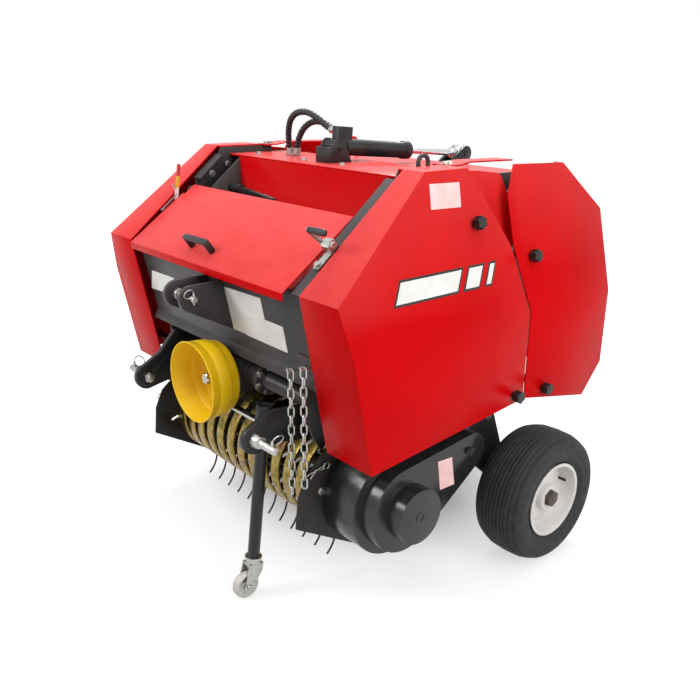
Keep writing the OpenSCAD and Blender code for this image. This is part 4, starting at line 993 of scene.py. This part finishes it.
class BALER_OT_drive(bpy.types.Operator):
    """Bell guard, splined input shaft and chain case"""

    bl_idname = "baler.drive"
    bl_label = "Drive"

    def execute(self, context):
        pressed = 0.003
        softened("chain_case", ["gloss_enamel"], pressed, segments=3)
        self.case_hub()
        self.bell()
        self.shaft(context.scene.baler_sizes.splines)
        return {"FINISHED"}

    def case_hub(self):
        """Raised ring in the middle of the case's drum, and the hexagon bolt behind it."""
        drum_t = 49.5
        ring = (11, 0), (11, 1.6), (12.5, 2.4), (14.5, 2.4), (16, 1.6), (16, 0)
        bolt = (0.01, 0), (11, 0), (11, 8), (9.5, 10), (0.01, 10)
        parts = [turned(ring, 40, along_x(CASE_FACE + drum_t, REEL)),
                 turned(bolt, 6, along_x(CASE_FACE, CASE_BOLT))]
        settled(piece_from("case_hub", parts, ["gloss_enamel"]), "chassis", NODE_SLOT["chain_case"])

    def bell(self):
        """Turned bell: rounded back, one step, a groove and a rolled lip."""
        profile = ((40, 0), (92, 0), (99, 2), (103, 6), (105, 12), (106.2, 30), (107.5, 32), (110.5, 34),
                   (112, 37), (114.6, 70), (113.4, 72), (113.4, 76), (115, 78), (117, 96), (118.4, 98),
                   (118.8, 100), (118, 101.6), (115.4, 101.6), (114.2, 100), (109, 40), (106, 35),
                   (102.4, 32), (101, 12), (98, 7), (92, 4), (40, 4))
        back_y = -485
        bell = turned(profile, 96, lambda v: spot(v.x, back_y - v.z, SHAFT_Z + v.y))
        piece = piece_from("bell_guard", [bell], ["yellow_polyethylene"], angle=50)
        settled(piece, "chassis", NODE_SLOT["pto_guard"], "pto_guard")

    def shaft(self, count):
        """Splined stub with a lock groove and a chamfered end, and its plain journal."""
        crest, root = 17.4, 14.2
        share = 2 * math.pi / count
        foot, top = 0.26 * share, 0.2236 * share
        tooth = (-foot, root), (-top, crest), (0, crest), (top, crest), (foot, root), (0.5 * share, root)
        ring = [(share * i + turn, r) for i in range(count) for turn, r in tooth]
        # the chamfered end, the lock groove and the plain end, as (y, how far below the crest)
        stations = (-543, 3.2), (-540, 0), (-531, 0), (-530, 3.4), (-525, 3.4), (-524, 0), (-488.5, 0)
        verts = []
        for y, below in stations:
            for a, r in ring:
                reach = min(r, crest - below)
                verts.append(spot(reach * math.cos(a), y, SHAFT_Z + reach * math.sin(a)))
        splines = verts, skin(len(ring), len(stations)) + caps(len(ring), len(stations))
        journal_y, journal_r, journal_t = -488, 15.8, 54
        journal = turned(((0.01, 0), (journal_r, 0), (journal_r, journal_t), (0.01, journal_t)), 32,
                         lambda v: spot(v.x, journal_y + v.z, SHAFT_Z + v.y))
        piece = piece_from("splined_shaft", [splines, journal], ["bright_zinc"], angle=25)
        settled(piece, "input_shaft", NODE_SLOT["pto_shaft"], "pto_shaft")


class BALER_OT_wheels(bpy.types.Operator):
    """Ribbed tyres on white rims with cast hub caps"""

    bl_idname = "baler.wheels"
    bl_label = "Wheels"

    def execute(self, context):
        sizes = context.scene.baler_sizes
        for side, name in ((-1, "left"), (1, "right")):
            self.tyre(side, name, sizes.groove_pitch * 1000, sizes.groove_depth * 1000)
            softened(f"rim_{name}", ["white_enamel", "dark_hub"], sizes.fold, pick=self.hub_face)
            self.valve(side, name)
        return {"FINISHED"}

    def hub_face(self, x, y, z):
        """1 on the cast cap in the middle of a rim, else 0."""
        return int(abs(x) > HUB_FACE and math.hypot(y - WHEEL[1], z - WHEEL[2]) < HUB_R)

    def valve(self, side, name):
        """The valve stem that stands out of a rim's dish."""
        root, length, r, y, z = WHEEL[0] + 27, 28, 4.2, WHEEL[1] + 78, WHEEL[2] + 30
        start = root if side > 0 else -root - length
        stem = rod_x(start, start + length, r, (y, z), 16)
        piece = piece_from(f"valve_{name}", [stem], ["black_plastic"])
        settled(piece, f"wheel_{name}", NODE_SLOT[f"tyre_{name}"])

    def crown(self, across):
        """Outer radius of the tread at a distance from its middle, which drops faster past the shoulder."""
        reach, shoulder, shoulder_w, middle_drop, shoulder_drop = abs(across), 38.5, 26, 2, 8
        if reach < shoulder:
            return WHEEL[2] - middle_drop * reach / shoulder
        return WHEEL[2] - middle_drop - shoulder_drop * (reach - shoulder) / shoulder_w

    def tyre(self, side, name, pitch, depth):
        """Implement tyre: rolled beads, bulged walls with two rings, and a tread of plain ribs."""
        seat = 106.2
        wall = [(seat, 60), (seat + 11, 68), (seat + 20, 74), (seat + 26, 77), (seat + 28, 79.2),
                (seat + 31, 79.4), (seat + 33, 78.6), (seat + 42, 81.6), (seat + 52, 82.4), (seat + 60, 82.2),
                (seat + 66, 81.2), (seat + 74, 77), (seat + 80, 71)]
        tread, edge, groove_half = [], 64.5, 1.7
        ribs = int(2 * edge / pitch)
        start = -ribs * pitch / 2
        for i in range(ribs):
            low, high = start + i * pitch + groove_half, start + (i + 1) * pitch - groove_half
            tread += [(self.crown(low) - depth, low - 1.1), (self.crown(low) - 0.8, low - 0.5),
                      (self.crown(low), low + 0.6), (self.crown(high), high - 0.6),
                      (self.crown(high) - 0.8, high + 0.5), (self.crown(high) - depth, high + 1.1)]
        profile = [(r, -h) for r, h in wall] + tread + list(reversed(wall))
        tyre = turned(profile, 88, lambda v: spot(side * (WHEEL[0] + v.z), WHEEL[1] + v.x, WHEEL[2] + v.y))
        piece = piece_from(f"ribbed_tyre_{name}", [tyre], ["tyre_rubber"], angle=55)
        settled(piece, f"wheel_{name}", NODE_SLOT[f"tyre_{name}"], f"tyre_{name}")


class BALER_OT_chains(bpy.types.Operator):
    """Two hanging chains of welded links on their hooks"""

    bl_idname = "baler.chains"
    bl_label = "Hanging chains"

    def execute(self, context):
        tree, given = tree_named("chain_links", {
            "Link length": "NodeSocketFloat", "Link width": "NodeSocketFloat", "Wire": "NodeSocketFloat"})
        inner = put(tree, "ShaderNodeMath", {"operation": "SUBTRACT"}, {
            0: given["Link width"], 1: given["Wire"]})
        tall = put(tree, "ShaderNodeMath", {"operation": "SUBTRACT"}, {
            0: given["Link length"], 1: given["Wire"]})
        frame_line = put(tree, "GeometryNodeCurvePrimitiveQuadrilateral", {}, {
            "Width": inner.outputs[0], "Height": tall.outputs[0]})
        bend = put(tree, "ShaderNodeMath", {"operation": "MULTIPLY"}, {0: inner.outputs[0], 1: 0.499})
        loop = put(tree, "GeometryNodeFilletCurve", {"mode": "POLY"}, {
            "Curve": frame_line.outputs[0], "Radius": bend.outputs[0], "Count": 5})
        thick = put(tree, "ShaderNodeMath", {"operation": "MULTIPLY"}, {0: given["Wire"], 1: 0.5})
        section = put(tree, "GeometryNodeCurvePrimitiveCircle", {}, {
            "Resolution": 8, "Radius": thick.outputs[0]})
        link = put(tree, "GeometryNodeCurveToMesh", {}, {
            "Curve": loop.outputs[0], "Profile Curve": section.outputs[0]})
        turn = put(tree, "GeometryNodeInputNamedAttribute", {"data_type": "FLOAT_VECTOR"}, {"Name": "turn"})
        spin = put(tree, "FunctionNodeEulerToRotation", {}, {"Euler": turn.outputs[0]})
        seats = put(tree, "GeometryNodeMeshToPoints", {}, {"Mesh": given["Geometry"]})
        links = put(tree, "GeometryNodeInstanceOnPoints", {}, {
            "Points": seats.outputs[0], "Instance": link.outputs[0], "Rotation": spin.outputs[0]})
        close_tree(tree, links.outputs[0], finish("bright_zinc"))
        rows, turns = [], (math.radians(35), math.radians(125))
        for x, z, count in CHAIN_HOOKS:
            for i in range(count):
                spin_z = turns[i % 2]
                rows.append((spot(x, HOOK_Y, z - i * LINK_PITCH - LINK_LEN / 2), (math.pi / 2, 0, spin_z)))
        piece = grown("hanging_chains", points_mesh("chain_seats", rows, "turn"), tree, {
            "Link length": LINK_LEN / 1000, "Link width": LINK_W / 1000, "Wire": LINK_WIRE / 1000})
        settled(piece, "chassis", NODE_SLOT["chains"], "chains")
        self.hooks()
        return {"FINISHED"}

    def hooks(self):
        """Hook plate on the panel and a turned-up hook for each chain."""
        up = (Vector(PANEL_HIGH) - Vector(PANEL_LOW)).normalized()
        out, plate_half = Vector((-up.y, up.x)), 3
        parts = [slab([(x, *(Vector(PANEL_LOW) + up * along + out * plate_half)) for x, along in
                       ((352, 14), (428, 14), (428, 62), (352, 62))], plate_half, plate_half)]
        wire_r = 3.6
        for x, z, _ in CHAIN_HOOKS:
            seat = z - LINK_WIRE - wire_r + 0.2
            root_y = on_panel(x, seat)[1]
            line = smooth_path([(x, root_y, seat), (x, HOOK_Y + 8, seat), (x, HOOK_Y - 3, seat),
                                (x, HOOK_Y - 9, seat + 3), (x, HOOK_Y - 11, seat + 10)], 2)
            parts.append(wire_along(line, wire_r, 12))
        picks = [1] + [0] * len(CHAIN_HOOKS)
        piece = piece_from("chain_hooks", parts, ["bright_zinc", "charcoal_enamel"], picks)
        settled(piece, "chassis", NODE_SLOT["chains"])


class BALER_OT_hydraulics(bpy.types.Operator):
    """Tailgate cylinder with its brackets, and the two hoses in spiral guard"""

    bl_idname = "baler.hydraulics"
    bl_label = "Hydraulics"

    def execute(self, context):
        sizes = context.scene.baler_sizes
        for node in ("cylinder_barrel", "cylinder_bracket", "rod_lugs"):
            softened(node, ["black_enamel"], sizes.edge)
        softened("cylinder_rod", ["hard_chrome"], sizes.edge)
        self.hoses(sizes.wrap_pitch)
        return {"FINISHED"}

    def hoses(self, pitch):
        """Hoses from the bulkhead to the ports."""
        step, hose_r, ridge_t = 1.4, 0.0082, 0.0018
        turn = step / 1000 / pitch

        def wrapped(i, a):
            ridge = 0.5 + 0.5 * math.cos(2 * math.pi * i * turn - a)
            return hose_r + ridge_t * min(1.0, 1.7 * ridge)

        parts, low, high = [], [], []
        for route in HOSE_ROUTES:
            path = [spot(*p) for p in reversed(smooth_path(route, step))]
            parts.append(tube_along(path, wrapped, 18))
            low += self.fitting(route[-1], (0, 0, 1))
            high += self.fitting(route[0], (-1, 0, 0))
        hoses = piece_from("spiral_hoses", parts, ["hose_rubber"], angle=60)
        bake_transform(hoses)
        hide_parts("hoses")
        settled(piece_from("bulkhead_fittings", low, ["bright_zinc"]), "chassis", "zinc_plate")
        settled(piece_from("port_fittings", high, ["bright_zinc"]), "barrel", "zinc_plate")

    def fitting(self, place, ahead):
        """A round collar and a hexagon at a hose's end."""
        axis = Vector(ahead).to_track_quat("Z", "Y").to_matrix()
        parts = []
        for r, start, end, sides in ((11.4, 3, 24, 24), (12.6, 0, 9, 6)):
            profile = ((0.01, start), (r - 1, start), (r, start + 1), (r, end - 1.5), (r - 1.5, end),
                       (0.01, end))
            parts.append(turned(profile, sides, lambda v: spot(*(axis @ v + Vector(place)))))
        return parts


class BALER_OT_jack(bpy.types.Operator):
    """Parking jack: socket, leg, fork and caster wheel"""

    bl_idname = "baler.jack"
    bl_label = "Parking jack"

    def execute(self, context):
        edge = context.scene.baler_sizes.edge
        for node in ("jack_socket", "jack_leg"):
            softened(node, ["black_enamel"], edge)
        softened("caster_fork", ["bright_zinc"], edge)
        softened("caster_wheel", ["pale_nylon", "bright_zinc"], edge, segments=3,
                 pick=lambda x, y, z: int(math.hypot(y - CASTER_AXLE[0], z - CASTER_AXLE[1]) < CASTER_HUB_R))
        return {"FINISHED"}


class BALER_OT_controls(bpy.types.Operator):
    """Knobs, lid handle, crank and bale-size stick"""

    bl_idname = "baler.controls"
    bl_label = "Knobs and handles"

    def execute(self, context):
        knob, grip, stick = 0.002, 0.003, 0.0006
        for node in ("cover_knobs", "tailgate_knobs"):
            softened(node, ["black_plastic"], knob, segments=3)
        softened("lid_handle", ["black_plastic"], grip, segments=3)
        self.crank()
        softened("indicator", ["banded_enamel", "charcoal_enamel"], stick,
                 pick=lambda x, y, z: int(y > STICK_BACK))
        return {"FINISHED"}

    def on_bar(self, along, out):
        """(y, z) of a point along the shoulder bar from the crank's seat, and out from it."""
        return (CRANK_SEAT[0] + along * math.cos(BEVEL) - out * math.sin(BEVEL),
                CRANK_SEAT[1] + along * math.sin(BEVEL) + out * math.cos(BEVEL))

    def crank(self):
        """Crank on a strap that is bolted to the shoulder bar: clamp, hub, bent rod and a barrel grip."""
        strap = (-66, 0), (14, 0), (14, 5), (-66, 5)
        clamp = (-16, 5), (14, 5), (12, 30), (-2, 34), (-14, 26)
        parts = [slab([(CRANK_X, *self.on_bar(*p)) for p in outline], half, half)
                 for outline, half in ((strap, 11), (clamp, 14))]
        hub_start, hub_end, hub_r, bolt_along, rod_r, grip_x = 386, 434, 9, -55, 5.8, 399
        parts.append(rod_x(hub_start, hub_end, hub_r, SPINDLE, 24))
        bolt = (0.01, 5), (9, 5), (9, 12), (7.5, 13.5), (0.01, 13.5)
        parts.append(turned(bolt, 6, lambda v: spot(CRANK_X + v.x, *self.on_bar(bolt_along + v.y, v.z))))
        rod = smooth_path([(391, *SPINDLE), (391, -449, 1020.5), (391.5, -468, 1035), (397, *GRIP),
                           (404, *GRIP)], 3)
        parts.append(wire_along(rod, rod_r, 14))
        barrel = ((0.01, 0), (6, 0), (7.6, 1.5), (8.2, 12), (9, 40), (8.8, 56), (7.6, 61), (4, 63),
                  (0.01, 63))
        parts.append(turned(barrel, 28, along_x(grip_x, GRIP)))
        picks = [0] * (len(parts) - 1) + [1]
        piece = piece_from("bent_crank", parts, ["bright_zinc", "black_plastic"], picks)
        settled(piece, "chassis", NODE_SLOT["crank_handle"], "crank_handle")


class BALER_OT_fasteners(bpy.types.Operator):
    """Bolt heads with washers, and the pins and clips of the hitch"""

    bl_idname = "baler.fasteners"
    bl_label = "Fasteners"

    def execute(self, context):
        across = context.scene.baler_sizes.bolt_across
        tree = self.bolt_tree()
        for body, rows in self.places().items():
            seats = points_mesh("bolt_seats", [(spot(*p), d) for p, d in rows], "facing")
            piece = grown(f"bolts_{body}", seats, tree, {
                "Head radius": across, "Head height": across * 0.62, "Washer radius": across * 1.42})
            settled(piece, body, "zinc_plate")
        self.clips()
        return {"FINISHED"}

    def bolt_tree(self):
        """A hexagon head on a washer at each point, standing along its facing."""
        tree, given = tree_named("bolt_heads", {
            "Head radius": "NodeSocketFloat", "Head height": "NodeSocketFloat",
            "Washer radius": "NodeSocketFloat"})
        washer_t = 0.0022
        head = put(tree, "GeometryNodeMeshCylinder", {}, {
            "Vertices": 6, "Radius": given["Head radius"], "Depth": given["Head height"]})
        lift = put(tree, "ShaderNodeMath", {"operation": "MULTIPLY_ADD"}, {
            0: given["Head height"], 1: 0.5, 2: washer_t})
        raised = put(tree, "ShaderNodeCombineXYZ", {}, {"Z": lift.outputs[0]})
        seated = put(tree, "GeometryNodeTransform", {}, {
            "Geometry": head.outputs[0], "Translation": raised.outputs[0]})
        washer = put(tree, "GeometryNodeMeshCylinder", {}, {
            "Vertices": 16, "Radius": given["Washer radius"], "Depth": washer_t * 2})
        both = put(tree, "GeometryNodeJoinGeometry")
        tree.links.new(seated.outputs[0], both.inputs[0])
        tree.links.new(washer.outputs[0], both.inputs[0])
        facing = put(tree, "GeometryNodeInputNamedAttribute", {"data_type": "FLOAT_VECTOR"}, {
            "Name": "facing"})
        aim = put(tree, "FunctionNodeAlignRotationToVector", {"axis": "Z"}, {"Vector": facing.outputs[0]})
        seats = put(tree, "GeometryNodeMeshToPoints", {}, {"Mesh": given["Geometry"]})
        bolts = put(tree, "GeometryNodeInstanceOnPoints", {}, {
            "Points": seats.outputs[0], "Instance": both.outputs[0], "Rotation": aim.outputs[0]})
        close_tree(tree, bolts.outputs[0], finish("bright_zinc"))
        return tree

    def places(self):
        """Bolt places in mm with the way each faces, by body."""
        rows = {"chassis": [], "tailgate": []}
        x, (y, z), r = GEARBOX_BOLTS
        for degrees in range(20, 380, 60):
            a = math.radians(degrees)
            rows["chassis"].append(((x, y + r * math.cos(a), z + r * math.sin(a)), (1, 0, 0)))
        for side in (-1, 1):
            for body, x, places, outwards in PAIRED_BOLTS:
                facing = (side, 0, 0) if outwards else (0, 0, 1)
                rows[body] += [((side * x, y, z), facing) for y, z in places]
        rows["chassis"] += [(place, (1, 0, 0)) for place in SINGLE_BOLTS]
        return rows

    def clips(self):
        """Ring clips through the link pins, hairpins on the pickup plates and the latch beside the lid."""
        parts = []
        for pin, middle, lean, ring_r, wire_r in RING_CLIPS:
            parts += [rod_z(*pin), wire_ring(middle, ((0, 1, 0), (lean, 0, 1)), ring_r, wire_r)]
        for hairpin in HAIRPINS:
            parts += self.hairpin(*hairpin)
        parts += self.latch()
        settled(piece_from("ring_clips", parts, ["bright_zinc"]), "chassis", "zinc_plate")

    def latch(self):
        """The draw latch between left cover and lid: strap, wire loop at its foot and a lever at its head."""
        foot, head, tip = LATCH
        left, right = LATCH_X - LATCH_HALF, LATCH_X + LATCH_HALF
        strap_t, lever_r, loop_r, loop_wire = 2.5, 2.6, 6, 1.4
        strap = slab([(left, *foot), (right, *foot), (right, *head), (left, *head)], 0, strap_t)
        lever = wire_along([(LATCH_X, *head), (LATCH_X, *tip)], lever_r, 10)
        middle = (LATCH_X, foot[0] - 5, foot[1] - 3)
        loop = wire_ring(middle, ((1, 0, 0), (0, 0.78, 0.63)), loop_r, loop_wire)
        return [strap, lever, loop]

    def hairpin(self, x, loop, heading):
        """A hairpin clip on a pickup plate: its loop, two legs along the heading, and the pin they hold."""
        ahead = Vector((0, math.cos(heading), math.sin(heading)))
        over = Vector((0, -math.sin(heading), math.cos(heading)))
        eye = Vector((x, *loop))
        pin = eye + ahead * HAIRPIN_PIN
        inner, pin_r = 0.98 * x, 4
        parts = [wire_ring(eye, (ahead, over), HAIRPIN_LOOP_R, HAIRPIN_WIRE),
                 rod_x(min(x, inner), max(x, inner), pin_r, (pin.y, pin.z), 16)]
        bow = smooth_path([(*p, 0) for p in HAIRPIN_BOW], 2)
        leg = [Vector((*p, 0)) for p in HAIRPIN_LEG]
        for line in (bow, leg):
            parts.append(wire_along([eye + ahead * p.x + over * p.y for p in line], HAIRPIN_WIRE, 8))
        return parts


class BALER_OT_stickers(bpy.types.Operator):
    """Blank stickers on panel, covers and chain case, and a plain stripe on each cover"""

    bl_idname = "baler.stickers"
    bl_label = "Stickers"

    def execute(self, context):
        white, rose, black = range(3)
        under, over = 0.5, 0.9
        sheets = [(under, white, [on_panel(*p) for p in corners]) for corners in PANEL_SHEETS]
        sheets[1] = (over, *sheets[1][1:])  # it lies partly on the first
        sheets.append((under, rose, [(CASE_FACE, *p) for p in CASE_SHEET]))
        for side in (-1, 1):
            sheets.append((under, rose, [self.on_lean(side, *p) for p in COVER_SHEET]))
            for run in STRIPE_RUNS:
                for rim, lift, vinyl in ((0, under, black), (STRIPE_RIM, over, white)):
                    sheets.append((lift, vinyl, [self.on_lean(side, *p) for p in self.bar(*run, rim)]))
        parts = [slab(corners, lift, lift) for lift, _, corners in sheets]
        piece = piece_from("blank_stickers", parts, ["white_vinyl", "rose_vinyl", "black_vinyl"],
                           [vinyl for _, vinyl, _ in sheets])
        settled(piece, "chassis", NODE_SLOT["front_cover_right"])
        return {"FINISHED"}

    def on_lean(self, side, y, z):
        """The point of a cover's leaning face at y and z."""
        return side * (COVER_HALF - (z - FOLD_Z) * math.tan(COVER_LEAN)), y, z

    def bar(self, start, end, rim):
        """Corners of one slanted bar of the stripe, drawn in by its rim."""
        low, high = STRIPE_Z[0] + rim, STRIPE_Z[1] - rim
        low_shift, high_shift = STRIPE_SLANT * rim, STRIPE_SLANT * (high - STRIPE_Z[0])
        return ((start + rim + low_shift, low), (end - rim + low_shift, low),
                (end - rim + high_shift, high), (start + rim + high_shift, high))


class BALER_PT_panel(bpy.types.Panel):
    """Sizes, colours and pieces of the baler"""

    bl_idname = "BALER_PT_panel"
    bl_label = "Mini round baler"
    bl_space_type = "VIEW_3D"
    bl_region_type = "UI"
    bl_category = "Baler"

    def draw(self, context):
        layout = self.layout
        for group in (context.scene.baler_sizes, context.scene.baler_colours):
            box = layout.box()
            for name in group.__annotations__:
                box.prop(group, name)
        for operator in OPERATORS:
            layout.operator(operator.bl_idname)


OPERATORS = (
    BALER_OT_stage, BALER_OT_red_sheet, BALER_OT_chassis, BALER_OT_pickup, BALER_OT_drive, BALER_OT_wheels,
    BALER_OT_chains, BALER_OT_hydraulics, BALER_OT_jack, BALER_OT_controls, BALER_OT_fasteners,
    BALER_OT_stickers)
CLASSES = (BalerColours, BalerSizes, *OPERATORS, BALER_PT_panel)


def register():
    for kind in CLASSES:
        bpy.utils.register_class(kind)
    bpy.types.Scene.baler_colours = PointerProperty(type=BalerColours)
    bpy.types.Scene.baler_sizes = PointerProperty(type=BalerSizes)


def unregister():
    del bpy.types.Scene.baler_sizes
    del bpy.types.Scene.baler_colours
    for kind in reversed(CLASSES):
        bpy.utils.unregister_class(kind)


def main():
    register()
    for name in ("Cube", "Camera", "Light"):
        if name in bpy.data.objects:
            bpy.data.objects.remove(bpy.data.objects[name])
    for operator in OPERATORS:
        group, call = operator.bl_idname.split(".")
        getattr(getattr(bpy.ops, group), call)()


if __name__ == "__main__":
    main()
